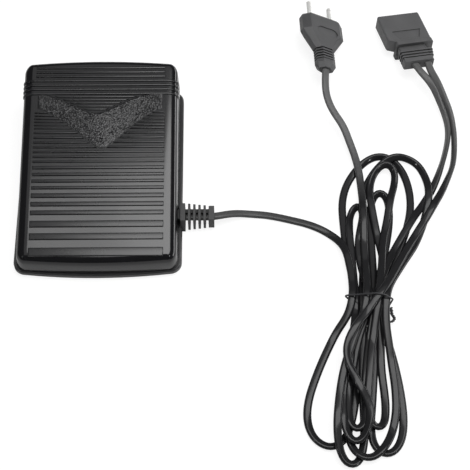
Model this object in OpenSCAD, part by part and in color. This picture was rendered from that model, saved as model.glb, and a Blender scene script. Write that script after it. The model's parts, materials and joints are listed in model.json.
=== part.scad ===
// Sewing machine foot pedal: a wedge-shaped foot switch with a hinged, ribbed foot plate,
// a speed control inside, and two flat cords tied in one hank with a mains plug and a machine connector.
// Frame: origin at the middle of the pedal's footprint on the floor, +Z up, +Y to the raised toe end,
// +X to the side where the cord leaves. All sizes are in millimetres.

/* [Base] */
// Width of the base flange
base_w = 124; // [116:1:140]
// Length of the base over its bowed ends
base_l = 168; // [160:1:190]
// Corner radius of the base outline
base_corner_r = 9; // [7:0.5:11]
// How far the ends bow outward
end_bow = 3; // [1:0.5:4]
// Height of the base lip above its underside
lip_h = 5; // [4:0.5:7]
// Chamfer of the base lip's edges
lip_edge = 0.9; // [0.5:0.1:2]
// Thickness of the base floor
floor_t = 2.5; // [2:0.1:3.5]
// Thickness of the base walls
base_wall = 2.2; // [1.8:0.1:3]
// Height of the inner rim above the flange at the heel end
rim_heel_h = 6; // [5:0.5:8]
// Height of the inner rim above the flange at the toe end
rim_toe_h = 20; // [15:0.5:21]
// Width of one cooling slot in the floor
vent_w = 2.4; // [1.5:0.1:3]
// Number of cooling slots
vent_count = 7; // [3:1:9]

/* [Feet] */
// Radius of a rubber foot
foot_r = 7; // [5:0.5:8]
// How far the rubber feet stand out below the base
foot_h = 2; // [1.5:0.1:3]
// Distance of the feet from the edges of the base
foot_inset = 15; // [13:0.5:18]

/* [Foot plate] */
// How far the plate's skirt stands inside the base flange at the sides
skirt_inset_side = 1.4; // [1:0.1:3]
// How far the plate's skirt stands inside the base flange at the ends
skirt_inset_end = 1.5; // [1:0.1:4]
// Wall thickness of the foot plate
plate_wall = 2.4; // [2:0.1:3]
// Radius of the rounded shoulder round the top
shoulder_r = 7; // [5:0.5:8]
// Corner radius of the plate seen from above
plate_corner_r = 11; // [9:0.5:13]
// Slope of the top at rest, in degrees
slope = 8.8; // [7:0.1:10]
// Height of the top above the hinge axis
plate_rise = 10.9; // [10:0.1:13]
// How much the skirt narrows from its foot to the shoulder
skirt_draft = 2.1; // [0.5:0.1:2.5]
// How far the skirt leans in at each end on its way up
skirt_end_draft = 0.6; // [0.3:0.1:1.5]
// Gap between the skirt and the flange
skirt_gap = 0.8; // [0.5:0.1:1.5]

/* [Tread] */
// Width of the ribbed field
tread_w = 98; // [80:1:100]
// Height of the tread ribs
rib_h = 0.8; // [0.4:0.1:1.2]
// Spacing of the first two ribs at the heel
heel_pitch = 12.6; // [9:0.1:14]
// Each spacing as a share of the one before it
pitch_ratio = 0.875; // [0.84:0.005:0.92]
// Smallest spacing, towards the toe
toe_pitch = 3; // [2.6:0.1:5]
// Width of a rib as a share of its spacing
rib_share = 0.55; // [0.4:0.05:0.65]
// Number of ribs that run on over the shoulders
wrap_ribs = 5; // [2:1:6]
// How far those ribs run down the sides
wrap_drop = 9; // [5:0.5:12]
// Height of the V-shaped grip band
band_h = 0.5; // [0.3:0.1:0.8]
// Gap between the grip band and the ends of the ribs
band_gap = 0.5; // [0.3:0.1:1]
// Half width of the grip band
band_half_w = 47; // [38:1:48]

/* [Hinge] */
// Distance of the hinge axis from the heel end of the base
hinge_inset = 18; // [16:0.5:24]
// Height of the hinge axis above the flange
hinge_rise = 8; // [7.5:0.1:9]
// Radius of the hinge pin
pin_r = 2; // [1.5:0.1:2.5]
// Travel of the foot plate, in degrees
travel = 6; // [4:0.1:6.5]
// Radial clearance of the pin in the base ears
ear_clearance = 0.03; // [0.01:0.01:0.1]
// Radial clearance of the pin in the plate's lugs
lug_clearance = 0.08; // [0.01:0.01:0.1]
// Wall of the ears and lugs round the pin
eye_wall = 2.8; // [2:0.1:3]
// Width of one ear or lug
eye_w = 6; // [4:0.5:8]
// Distance of the ears' inner faces from the middle
ear_x = 38; // [28:1:40]
// Sideways clearance between an ear and its lug
eye_gap = 0.6; // [0.3:0.1:1]

/* [Springs] */
// Outer radius of a return spring
spring_r = 6.4; // [5:0.1:8]
// Wire radius of a return spring
spring_wire_r = 0.7; // [0.4:0.1:1]
// Turns of a return spring
spring_turns = 7; // [5:1:9]
// Distance of the springs from the middle
spring_x = 38; // [30:1:42]
// Distance of the springs from the toe end of the base
spring_inset = 38; // [32:1:44]

/* [Speed control] */
// Width of the circuit board
board_w = 78; // [70:1:86]
// Length of the circuit board
board_l = 56; // [50:1:60]
// Thickness of the circuit board
board_t = 1.6; // [1:0.1:2]
// Height of the board's bosses above the floor
board_boss_h = 4; // [3:0.5:5]
// Distance of the board's middle from the hinge axis
board_from_hinge = 50; // [48:1:56]
// Distance of the potentiometer from the hinge axis
pot_from_hinge = 100; // [94:1:112]
// Width of the potentiometer
pot_w = 12; // [9:0.5:16]
// Depth of the potentiometer
pot_d = 9; // [7:0.5:12]
// Height of the potentiometer
pot_h = 20; // [19:0.5:21]

/* [Strain relief] */
// Distance of the cord exit from the heel end of the base
exit_from_heel = 48; // [44:1:60]
// Height of the cord exit above the floor the pedal stands on
exit_z = 9.5; // [8.5:0.1:10]
// Size of the square root plate
relief_root = 15; // [13:0.5:16]
// Size of the square end block
relief_end = 12; // [10:0.5:13]
// Length outside the base
relief_l = 24; // [18:1:30]
// Number of thin ribs
relief_ribs = 4; // [2:1:5]
// Thickness of one thin rib
relief_rib_t = 1.8; // [1:0.1:2.2]
// Size of the square core
relief_core = 8.4; // [7.5:0.1:9]

/* [Cord] */
// Width of the flat cord
cord_w = 5.5; // [4.5:0.1:6]
// Thickness of the flat cord
cord_t = 3.2; // [2.6:0.1:4]
// Height of the tied hank
hank_h = 10; // [8:0.5:14]

/* [Plug] */
// Width of the plug's face
plug_w = 37; // [34:0.5:38]
// Thickness of the plug
plug_t = 13.7; // [12:0.1:16]
// Length of the plug body without its neck
plug_l = 35; // [30:0.5:38]
// Length of the ribbed neck
plug_neck_l = 20; // [18:0.5:24]
// Width of the neck
plug_neck_w = 16.5; // [14:0.5:18]
// Radius of a plug pin
plug_pin_r = 2; // [1.8:0.1:2.4]
// Length of a plug pin outside the body
plug_pin_l = 19; // [17:0.5:20]
// Spacing of the plug pins
plug_pin_gap = 18.8; // [17:0.1:19]

/* [Connector] */
// Width of the connector
conn_w = 36; // [33:0.5:38]
// Length of the connector's wide part
conn_l = 32; // [28:0.5:36]
// Thickness of the connector
conn_t = 11; // [10:0.5:13]
// Length of the connector's ribbed neck
conn_neck_l = 22; // [19:0.5:25]
// Width of the connector's neck
conn_neck_w = 25; // [22:0.5:28]
// Radius of a connector socket
socket_r = 2.4; // [2:0.1:2.8]
// Spacing of the connector sockets
socket_gap = 8; // [7:0.1:9]

/* [Hidden] */
$fn = 48;
hull_fn = 32;
corner_steps = 8;
bow_steps = 12;
edge_steps = 8;
eps = 0.01;
over = 1;
cut_h = base_w / 2;

// Base
half_w = base_w / 2;
half_l = base_l / 2;
base_z = foot_h;
floor_z = base_z + floor_t;
flange_z = base_z + lip_h;
skirt_half_w = half_w - skirt_inset_side;
skirt_half_l = half_l - skirt_inset_end;
rim_side_gap = 0.8;
rim_end_gap = 1.8;
rim_half_w = skirt_half_w - skirt_draft - plate_wall - rim_side_gap;
rim_half_l = skirt_half_l - skirt_end_draft - plate_wall - rim_end_gap;
rim_corner_r = plate_corner_r - plate_wall - 1;
foot_x = half_w - foot_inset;
foot_y = half_l - end_bow - foot_inset;
foot_recess = 1;
foot_gap = 0.2;
foot_dimple_r = foot_r / 3;
foot_dimple_h = 0.8;
hole_floor = 0.6;
vent_l = 20;
vent_pitch = 3 * vent_w;

// Hinge
hinge_y = -half_l + hinge_inset;
hinge_z = flange_z + hinge_rise;
eye_r = pin_r + eye_wall;
lug_x = ear_x - eye_gap - eye_w;
pin_overhang = 3;
clip_t = 0.6;
clip_gap = 0.3;
clip_r = pin_r + 1.6;
groove_d = 0.4;
groove_play = 0.05;

// Foot plate
wall_z = plate_wall / cos(slope);
tread_end_gap = 2;
heel_end_v = -(hinge_inset - skirt_inset_end - shoulder_r + tread_end_gap) / cos(slope);
toe_end_v = (base_l - hinge_inset - skirt_inset_end - shoulder_r - tread_end_gap) / cos(slope);
rib_sink = 0.4;
form_depth = 4;
form_foot = 0.1;
crown_h = 0.6;
rib_overlap = 1;
wrap_step = 0.1;
function top_z(y) = hinge_z + plate_rise + tan(slope) * (y - hinge_y);
function under_z(y) = top_z(y) - wall_z;

// Tread: rib spacing shrinks from heel to toe
function pitch(i) = max(toe_pitch, heel_pitch * pow(pitch_ratio, i));
function rib_start(i) = i == 0 ? heel_end_v : rib_start(i - 1) + pitch(i - 1);
rib_limit = 60;
rib_starts = [for (i = [0 : rib_limit]) let (v = rib_start(i)) if (v + rib_share * pitch(i) < toe_end_v) v];
rib_count = len(rib_starts);
ribs_past_wrap = 3;
wrap_first = rib_count - wrap_ribs - ribs_past_wrap;

// Grip band: its edges fall from the sides to a point at the middle
band_steps = 12;
band_outer_top = 119;
band_outer_low = 105;
band_point_top = 101;
band_point_low = 74;
band_bend_top = 1.7;
band_bend_low = 1.35;
function band_edge(s, low, high, bend) = low + (high - low) * (1 - pow(1 - s, bend));
function band_side(low, high, bend) =
    [for (i = [-band_steps : band_steps]) let (s = i / band_steps)
        [s * band_half_w, band_edge(abs(s), low, high, bend)]];

// Springs
spring_y = half_l - spring_inset;
spring_pad_r = spring_r + 1.5;
spring_pad_gap = 0.3;
spring_tilt = slope - travel / 2;
spring_pad_z = under_z(spring_y) - spring_pad_r * tan(slope) - 1.5;
spring_top = spring_pad_z - spring_r * tan(spring_tilt) - spring_pad_gap;
spring_seat_h = 2;
spring_bottom = floor_z + spring_seat_h;
spring_post_r = spring_r - 2 * spring_wire_r - 0.4;
spring_post_h = 6;

// Board and parts on it
board_y = hinge_y + board_from_hinge;
board_z = floor_z + board_boss_h;
board_top = board_z + board_t;
board_hole_inset = 4;
board_hole_x = board_w / 2 - board_hole_inset;
board_hole_y = board_l / 2 - board_hole_inset;
board_screw_r = 1.4;
screw_gap = 0.05;
boss_r = 3.2;
leg_r = 0.4;
pot_y = hinge_y + pot_from_hinge;
pot_tab_t = 2;
pot_tab_w = 5;
pot_tab_l = 6;
pot_wall = 1.6;
pot_play = 0.4;
pot_tab_top_gap = 1;
pot_stroke = pot_from_hinge * travel * PI / 180;
pot_gap = 0.4;
pot_tab_z = floor_z + pot_h - pot_wall - pot_tab_t - pot_tab_top_gap;
arm_w = 6;
arm_r = 2.5;
web_t = 2;
web_up = 4;
web_half_l = 3 * arm_r;
arm_x = pot_w / 2 + pot_tab_l / 2 + 1;

// Cord exit
exit_y = -half_l + exit_from_heel;
root_skirt_gap = 0.1;
root_proud = 2.4;
relief_root_x = skirt_half_w + root_skirt_gap;
relief_root_end = half_w + root_proud;
relief_end_t = 4.2;
relief_inner_t = 2;
relief_inner = 12;
exit_bore_gap = 0.15;
slot_reach = 1;
slot_edge = 0.15;
notch_gap = 1;
exit_slot = relief_core + 2 * exit_bore_gap;
root_slot = relief_root + 2 * exit_bore_gap;

// Cord clamp
clamp_bar_w = 5;
clamp_bar_t = 2.4;
clamp_from_wall = 6;
clamp_x = rim_half_w - base_wall - clamp_from_wall;
clamp_screw_r = 1.4;
clamp_screw_l = 6;
clamp_screw_y = cord_w / 2 + boss_r + 1.3;
clamp_boss_h = exit_z - cord_t / 2 - floor_z;
clamp_pinch = 0.4;
clamp_side_gap = 0.5;

// Cord routes: points chosen along the floor, z is the middle of the flat cord
cord_floor = cord_t / 2;
relief_tip = half_w + relief_l;
pedal_route = [
    [half_w, exit_y, exit_z], [relief_tip, exit_y, exit_z], [relief_tip + 6, exit_y + 1, exit_z - 0.5],
    [100, -33.4, 6.5], [111, -31.7, 3.2], [126, -33, cord_floor], [140, -35, cord_floor],
    [153, -39, cord_floor], [166, -45, cord_floor], [176, -52, cord_floor], [184.5, -61.5, cord_floor]
];
mains_route = [
    [174, 91.4, 19.6], [174.2, 86, 20.3], [174.8, 79.5, 16.8], [176.3, 73, 10.6], [179, 67, 5.4],
    [182.5, 61, 2.4], [187, 52, cord_floor], [191, 35, cord_floor], [194, 18, cord_floor],
    [195.5, 14, cord_floor]
];
conn_inner_route = [
    [245.6, 98.8, 16.5], [246.9, 93.6, 17.4], [251, 86.5, 14], [256.8, 79, 8.2], [261.6, 71.5, 4],
    [265.8, 63, 1.8], [268.6, 53.5, cord_floor], [269.5, 43, cord_floor], [265.5, 25, cord_floor],
    [258, 4, cord_floor], [252, -9, cord_floor], [247, -17.5, cord_floor]
];
conn_outer_route = [
    [255.9, 101.2, 15.4], [256.8, 96, 16.2], [259.6, 88.6, 13], [264.1, 80, 7.6], [268.9, 71, 3.8],
    [273.3, 60.5, 1.8], [275.8, 49, cord_floor], [275.1, 35, cord_floor], [270.2, 19, cord_floor],
    [264.4, 3, cord_floor], [255.5, -18, cord_floor], [247, -33, cord_floor], [234, -54, cord_floor]
];
cord_sides = 10;

// Hank: a tall loop up, a waist under the tie, a tall loop down
hank_up = [215, -12];
hank_waist = [197.5, -104];
hank_down = [184, -198];
hank_loop_r = 34;
hank_waist_r = 13;
tie_w = 4;
tie_t = 1;
tie_side_gap = 2.1;
tie_top_gap = 0.3;
tie_turn = -3;
tie_end_r = 1.8;
tie_end_l = 15;
tie_end_turn = 25;

// Plug and connector places
plug_at = [172.1, 146, 12.3];
plug_turn = 2;
plug_pitch = -7.6;
plug_roll = 27.3;
plug_flat_w = plug_w - 10.6;
plug_bevel = (plug_w - plug_flat_w) / 2;
plug_bevel_h = 0.32 * plug_t;
face_inset = 1.2;
face_edge_l = 2.5;
section_l = 0.5;
plug_neck_t = 11.5;
neck_bevel = 4;
neck_bevel_h = 3.4;
neck_rib_h = 0.9;
neck_rib_count = 4;
neck_rib_l = 1.65;
neck_rib_pitch = 2.9;
neck_first_rib = 1.5;
plug_end_l = 7.4;
plug_end_inset = 2;
plug_pin_root = 9;
plug_root_r = plug_pin_r - 0.2;
plug_pin_fit = 0.02;
grip_l = 10;
grip_r = 4.2;
grip_x = 1.5;
grip_d = 0.6;
conn_at = [242.2, 119.5, 7.4];
conn_turn = 14.2;
conn_pitch = -9.3;
conn_roll = 6.4;
conn_corner_r = 2;
conn_bevel = 1;
corner_cut = [5.6, 3];
collar_w = conn_w - 6;
collar_l = 3.5;
collar_drop = 5.2;
collar_lap = 0.5;
collar_edge = 0.4;
neck_left = conn_w / 2 - collar_w;
neck_low = 1.2;
neck_high = conn_t - 1.4;
conn_rib_count = 3;
conn_rib_l = 1.5;
conn_rib_pitch = 3.1;
conn_first_rib = 9;
conn_rib_h = 0.9;
conn_end_l = 4.2;
conn_recess_d = 0.5;
conn_recess = [[-8, -5], [9, -5], [12.5, 4.5], [-11.5, 4.5]];
recess_y = 0.25 * conn_l;
socket_l = 14;
socket_step = 6;
sleeve_t = 0.5;
contact_r = socket_r - 0.3;
sleeve_gap = 0.02;

black = "#141416";
dark_grey = "#3a3b3d";
rubber_black = "#1d1d1f";
steel = "#b9bcc0";
brass = "#c9a24a";
board_green = "#2f6b45";

// Rounded rectangle whose ends bow outward, as one polygon: half of it, and the same turned round
function bowed_half(hw, hl, r, bow) =
    let (
        chord = hw - r,
        flat_l = hl - bow
    )
    concat(
        [for (i = [0 : corner_steps - 1]) let (a = 90 * i / corner_steps)
            [chord + r * cos(a), flat_l - r + r * sin(a)]],
        [for (i = [0 : bow_steps]) let (k = 1 - 2 * i / bow_steps)
            [chord * k, flat_l + bow * (1 - k * k)]],
        [for (i = [1 : corner_steps]) let (a = 90 + 90 * i / corner_steps)
            [-chord + r * cos(a), flat_l - r + r * sin(a)]]
    );
module bowed_outline(hw, hl, r, bow) {
    half = bowed_half(hw, hl, r, bow);
    polygon(concat(half, -half));
}

// A disc with a rounded upper edge and a low cone on top
module button(r, edge, cone) {
    rotate_extrude($fn = hull_fn)
        polygon(concat(
            [[0, 0]],
            [for (i = [0 : edge_steps - 1]) let (a = 90 * i / edge_steps)
                [r - edge + edge * cos(a), edge * sin(a)]],
            [[0, edge + cone]]
        ));
}

// The foot plate's closed form, grown or shrunk all round: the tread plane cuts its crown flat
module plate_form(grow) {
    intersection() {
        hull()
            for (end = [-1, 1])
                for (k = [-1, -0.55, 0, 0.55, 1]) {
                    x = k * (skirt_half_w - plate_corner_r);
                    y = end * (skirt_half_l - end_bow * k * k - plate_corner_r);
                    top_x = x - sign(k) * skirt_draft;
                    top_y = y - end * skirt_end_draft;
                    translate([top_x, top_y, top_z(top_y) - shoulder_r / cos(slope)])
                        rotate([slope, 0, 0])
                            button(plate_corner_r + grow, shoulder_r + grow, crown_h * (2 - k * k));
                    translate([x, y, flange_z - form_depth + min(grow, 0)])
                        cylinder(r = plate_corner_r + grow, h = form_foot, $fn = hull_fn);
                }
        on_tread()
            translate([-base_w, -base_l, grow - base_l])
                cube([2 * base_w, 3 * base_l, base_l]);
    }
}

// Places children, given as they lie with the plate pressed down, where they are at rest
module from_pressed() {
    translate([0, hinge_y, hinge_z])
        rotate([travel, 0, 0])
            translate([0, -hinge_y, -hinge_z])
                children();
}

// Places children on the plate's top: x across, y up the slope from above the hinge, z off the surface
module on_tread() {
    translate([0, hinge_y, hinge_z + plate_rise])
        rotate([slope, 0, 0])
            children();
}

// A solid cylinder along X, centred
module rod_x(r, l) {
    rotate([0, 90, 0])
        cylinder(r = r, h = l, center = true);
}

// A pan-head screw with a cross slot, its head's underside at z = 0
module screw(r, l) {
    head_r = 1.9 * r;
    head_h = 1.3 * r;
    slot_w = 0.5 * r;
    difference() {
        cylinder(r = head_r, h = head_h);
        for (a = [0, 90])
            rotate([0, 0, a])
                translate([0, 0, head_h])
                    cube([1.4 * head_r, slot_w, head_h], center = true);
    }
    translate([0, 0, -l])
        cylinder(r = r, h = l + eps);
}

module band_outline() {
    upper = band_side(band_point_top, band_outer_top, band_bend_top);
    lower = band_side(band_point_low, band_outer_low, band_bend_low);
    polygon(concat(upper, [for (i = [len(lower) - 1 : -1 : 0]) lower[i]]));
}

module tread_ribs() {
    on_tread()
        translate([0, 0, -rib_sink])
            linear_extrude(rib_h + rib_sink)
                difference() {
                    for (i = [0 : rib_count - 1])
                        translate([-tread_w / 2, rib_starts[i]])
                            square([tread_w, rib_share * pitch(i)]);
                    offset(delta = band_gap)
                        band_outline();
                }
}

module shoulder_ribs() {
    inner = tread_w / 2 - rib_overlap;
    intersection() {
        plate_form(rib_h - wrap_step);
        on_tread()
            for (i = [wrap_first : wrap_first + wrap_ribs - 1])
                for (x = [-half_w, inner])
                    translate([x, rib_starts[i] + wrap_step, -wrap_drop])
                        cube([half_w - inner, rib_share * pitch(i) - 2 * wrap_step, wrap_drop + 2 * rib_h]);
    }
}

module skirt_cuts() {
    below = flange_z + skirt_gap;
    translate([-base_w, -base_l, below - cut_h])
        cube([2 * base_w, 2 * base_l, cut_h]);
    from_pressed() {
        translate([-base_w, -base_l, below - cut_h])
            cube([2 * base_w, 2 * base_l, cut_h]);
        translate([0, exit_y - relief_core / 2 - notch_gap, -over])
            cube([base_w, relief_core + 2 * notch_gap, exit_z + relief_core / 2 + notch_gap + over]);
    }
}

module hinge_lugs() {
    for (sx = [-1, 1])
        translate([sx * (lug_x + eye_w / 2), hinge_y, hinge_z])
            difference() {
                union() {
                    rod_x(eye_r, eye_w);
                    translate([-eye_w / 2, -eye_r, 0])
                        cube([eye_w, 2 * eye_r, plate_rise - wall_z / 2 - eye_r * tan(slope)]);
                }
                rod_x(pin_r + lug_clearance, eye_w + 2 * over);
            }
}

module spring_pads() {
    for (sx = [-1, 1])
        translate([sx * spring_x, spring_y, spring_pad_z])
            rotate([spring_tilt, 0, 0])
                cylinder(r = spring_pad_r, h = under_z(spring_y) - spring_pad_z + wall_z / 2);
}

module control_arm() {
    tip_z = pot_tab_z + pot_tab_t + pot_gap + arm_r;
    translate([arm_x, pot_y, tip_z])
        rod_x(arm_r, arm_w);
    translate([arm_x - arm_w / 2, pot_y - arm_r, tip_z])
        cube([arm_w, 2 * arm_r, under_z(pot_y - arm_r) + wall_z / 2 - tip_z]);
    for (sx = [-1, 1])
        translate([arm_x + sx * (arm_w - web_t) / 2 - web_t / 2, pot_y - web_half_l, tip_z + web_up])
            cube([web_t, 2 * web_half_l, under_z(pot_y - web_half_l) + wall_z / 2 - tip_z - web_up]);
}

module foot_plate() {
    color(black) {
        difference() {
            union() {
                plate_form(0);
                shoulder_ribs();
                tread_ribs();
                on_tread()
                    translate([0, 0, -rib_sink])
                        linear_extrude(band_h + rib_sink)
                            band_outline();
            }
            plate_form(-plate_wall);
            skirt_cuts();
        }
        hinge_lugs();
        spring_pads();
        control_arm();
    }
}

module rim() {
    rim_rise = (rim_toe_h - rim_heel_h) / (2 * rim_half_l);
    rim_angle = atan(rim_rise);
    difference() {
        translate([0, 0, floor_z])
            linear_extrude(lip_h + rim_toe_h)
                bowed_outline(rim_half_w, rim_half_l, rim_corner_r, end_bow);
        translate([0, -rim_half_l, flange_z + rim_heel_h])
            rotate([rim_angle, 0, 0])
                translate([-base_w, -base_l, 0])
                    cube([2 * base_w, 3 * base_l, cut_h]);
    }
}

module hinge_ears() {
    for (sx = [-1, 1])
        translate([sx * (ear_x + eye_w / 2), hinge_y, 0]) {
            translate([0, 0, hinge_z])
                rod_x(eye_r, eye_w);
            translate([-eye_w / 2, -eye_r, floor_z - eps])
                cube([eye_w, 2 * eye_r, hinge_z - floor_z + eps]);
        }
}

module board_bosses() {
    for (sx = [-1, 1])
        for (sy = [-1, 1])
            translate([sx * board_hole_x, board_y + sy * board_hole_y, floor_z - eps])
                cylinder(r = boss_r, h = board_boss_h + eps);
}

module spring_seats() {
    for (sx = [-1, 1])
        translate([sx * spring_x, spring_y, floor_z - eps]) {
            cylinder(r = spring_pad_r, h = spring_seat_h + eps);
            cylinder(r = spring_post_r, h = spring_seat_h + spring_post_h);
        }
}

module clamp_bosses() {
    for (sy = [-1, 1])
        translate([clamp_x, exit_y + sy * clamp_screw_y, floor_z - eps])
            cylinder(r = boss_r, h = clamp_boss_h + cord_t - clamp_pinch + eps);
    translate([clamp_x - clamp_bar_w / 2, exit_y - cord_w / 2 - clamp_side_gap, floor_z - eps])
        cube([clamp_bar_w, cord_w + 2 * clamp_side_gap, clamp_boss_h + eps]);
}

// The lip's outer form with both edges chamfered
module lip_form() {
    hull() {
        translate([0, 0, base_z + lip_edge])
            linear_extrude(lip_h - 2 * lip_edge)
                bowed_outline(half_w, half_l, base_corner_r, end_bow);
        translate([0, 0, base_z])
            linear_extrude(lip_h)
                bowed_outline(half_w - lip_edge, half_l - lip_edge, base_corner_r - lip_edge, end_bow);
    }
}

module base_shell() {
    groove_w = half_w - base_wall;
    groove_l = half_l - base_wall;
    color(black)
        difference() {
            union() {
                difference() {
                    union() {
                        lip_form();
                        rim();
                    }
                    translate([0, 0, floor_z])
                        linear_extrude(cut_h)
                            bowed_outline(rim_half_w - base_wall, rim_half_l - base_wall,
                                rim_corner_r - base_wall, end_bow);
                    translate([0, 0, base_z - over])
                        linear_extrude(lip_h + over - base_wall)
                            difference() {
                                bowed_outline(groove_w, groove_l, base_corner_r - base_wall, end_bow);
                                bowed_outline(rim_half_w, rim_half_l, rim_corner_r, end_bow);
                            }
                }
                hinge_ears();
                board_bosses();
                spring_seats();
                clamp_bosses();
                for (sx = [-1, 1])
                    for (sy = [-1, 1])
                        translate([sx * foot_x, sy * foot_y, floor_z - eps])
                            cylinder(r = foot_r + base_wall, h = foot_recess + eps);
            }
            for (sx = [-1, 1])
                translate([sx * (ear_x + eye_w / 2), hinge_y, hinge_z])
                    rod_x(pin_r + ear_clearance, eye_w + 2 * over);
            for (sx = [-1, 1])
                for (sy = [-1, 1]) {
                    translate([sx * foot_x, sy * foot_y, base_z - over])
                        cylinder(r = foot_r + foot_gap, h = foot_recess + over);
                    translate([sx * board_hole_x, board_y + sy * board_hole_y, floor_z + hole_floor])
                        cylinder(r = board_screw_r, h = board_boss_h);
                }
            for (sy = [-1, 1])
                translate([clamp_x, exit_y + sy * clamp_screw_y, floor_z + hole_floor])
                    cylinder(r = clamp_screw_r, h = cut_h);
            translate([rim_half_w - base_wall - over, exit_y - exit_slot / 2, exit_z - exit_slot / 2])
                cube([base_w, exit_slot, cut_h]);
            translate([relief_root_x - exit_bore_gap, exit_y - root_slot / 2, base_z - over])
                cube([base_w, root_slot, cut_h]);
            for (i = [0 : vent_count - 1])
                translate([(i - (vent_count - 1) / 2) * vent_pitch, spring_y, floor_z - floor_t / 2])
                    cube([vent_w, vent_l, floor_t + 2 * over], center = true);
        }
}

module rubber_feet() {
    color(rubber_black)
        for (sx = [-1, 1])
            for (sy = [-1, 1])
                translate([sx * foot_x, sy * foot_y, 0])
                    difference() {
                        cylinder(r = foot_r, h = base_z + foot_recess);
                        translate([0, 0, -over])
                            cylinder(r = foot_dimple_r, h = foot_dimple_h + over);
                    }
}

module hinge_pin() {
    half = ear_x + eye_w + pin_overhang;
    color(steel)
        translate([0, hinge_y, hinge_z])
            difference() {
                rod_x(pin_r, 2 * half);
                for (sx = [-1, 1])
                    translate([sx * (ear_x + eye_w + clip_gap + clip_t / 2), 0, 0])
                        difference() {
                            rod_x(pin_r + over, clip_t + 2 * groove_play);
                            rod_x(pin_r - groove_d, clip_t + 2 * over);
                        }
            }
}

module pin_clips() {
    color(steel)
        for (sx = [-1, 1])
            translate([sx * (ear_x + eye_w + clip_gap + clip_t / 2), hinge_y, hinge_z])
                difference() {
                    rod_x(clip_r, clip_t);
                    rod_x(pin_r - groove_d + groove_play, clip_t + 2 * over);
                    translate([-clip_t, -0.8 * pin_r, -2 * clip_r])
                        cube([2 * clip_t, 1.6 * pin_r, 2 * clip_r]);
                }
}

// A helical spring swept as one closed tube
function coil_point(t, r, h) = [r * cos(t), r * sin(t), h];
function coil_ring(i, n, sides) =
    let (
        angle = 360 * spring_turns * i / n,
        mid_r = spring_r - spring_wire_r,
        low = spring_bottom + spring_wire_r,
        z = low + (spring_top - spring_wire_r - low) * i / n
    )
    [for (j = [0 : sides - 1]) let (a = 360 * j / sides)
        coil_point(angle, mid_r + spring_wire_r * cos(a), z + spring_wire_r * sin(a))];
module tube_mesh(rings) {
    sides = len(rings[0]);
    last = len(rings) - 1;
    points = [for (ring = rings) each ring];
    walls = [for (i = [0 : last - 1])
        for (j = [0 : sides - 1])
            let (k = (j + 1) % sides)
            [i * sides + j, i * sides + k, (i + 1) * sides + k, (i + 1) * sides + j]];
    start = [[for (j = [sides - 1 : -1 : 0]) j]];
    end = [[for (j = [0 : sides - 1]) last * sides + j]];
    polyhedron(points = points, faces = concat(start, walls, end), convexity = 10);
}

module return_springs() {
    coil_steps = 12 * spring_turns;
    color(steel)
        for (sx = [-1, 1])
            translate([sx * spring_x, spring_y, 0])
                tube_mesh([for (i = [0 : coil_steps]) coil_ring(i, coil_steps, 6)]);
}

module circuit_board() {
    color(board_green)
        difference() {
            translate([-board_w / 2, board_y - board_l / 2, board_z])
                cube([board_w, board_l, board_t]);
            for (sx = [-1, 1])
                for (sy = [-1, 1])
                    translate([sx * board_hole_x, board_y + sy * board_hole_y, board_z - over])
                        cylinder(r = board_screw_r + 4 * screw_gap, h = board_t + 2 * over);
        }
}

module board_screws() {
    color(steel)
        for (sx = [-1, 1])
            for (sy = [-1, 1])
                translate([sx * board_hole_x, board_y + sy * board_hole_y, board_top])
                    screw(board_screw_r - screw_gap, board_t + board_boss_h - 2 * hole_floor);
}

module potentiometer_body() {
    slot_h = pot_stroke + pot_tab_t + 2 * pot_tab_top_gap;
    slot_low = pot_tab_z + pot_tab_t + pot_tab_top_gap - slot_h;
    color(dark_grey)
        difference() {
            translate([-pot_w / 2, pot_y - pot_d / 2, floor_z])
                cube([pot_w, pot_d, pot_h]);
            translate([-pot_w / 2 + pot_wall, pot_y - pot_d / 2 + pot_wall, floor_z + pot_wall])
                cube([pot_w - 2 * pot_wall, pot_d - 2 * pot_wall, pot_h - 2 * pot_wall]);
            translate([0, pot_y - pot_tab_w / 2 - pot_play, slot_low])
                cube([pot_w, pot_tab_w + 2 * pot_play, slot_h]);
        }
}

module potentiometer_slider() {
    block_d = pot_d - 2 * (pot_wall + pot_play);
    block_w = pot_w - 2 * (pot_wall + pot_play);
    color("#d8d8d4") {
        translate([-block_w / 2, pot_y - block_d / 2, pot_tab_z - pot_tab_top_gap])
            cube([block_w, block_d, pot_tab_t + pot_tab_top_gap]);
        translate([0, pot_y - pot_tab_w / 2, pot_tab_z])
            cube([pot_w / 2 + pot_tab_l, pot_tab_w, pot_tab_t]);
    }
}

sink_x = -12;
sink_y = board_y + 13;
sink_w = 36;
sink_l = 22;
sink_t = 2;
fin_h = 9;
fin_t = 1.4;
fin_count = 5;
triac_w = 10;
triac_l = 9;
triac_t = 4.5;
tab_t = 1.3;
tab_l = 6.5;
triac_edge = 1;
triac_x = sink_x + sink_w / 2 - triac_w / 2 - triac_edge;
triac_y = sink_y - 4;
triac_hole_r = 1.4;
triac_hole_y = triac_y + (triac_l + tab_l) / 2;
leg_pitch = 2.5;
leg_l = 6;
leg_lift = 1.2;

module heat_sink() {
    fin_pitch = (sink_w - triac_w - 2 * triac_edge - fin_t) / fin_count;
    color(steel)
        difference() {
            translate([sink_x - sink_w / 2, sink_y - sink_l / 2, board_top]) {
                cube([sink_w, sink_l, sink_t]);
                for (i = [0 : fin_count - 1])
                    translate([i * fin_pitch, 0, 0])
                        cube([fin_t, sink_l, fin_h]);
            }
            translate([triac_x, triac_hole_y, board_top + hole_floor])
                cylinder(r = triac_hole_r, h = fin_h);
        }
}

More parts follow.
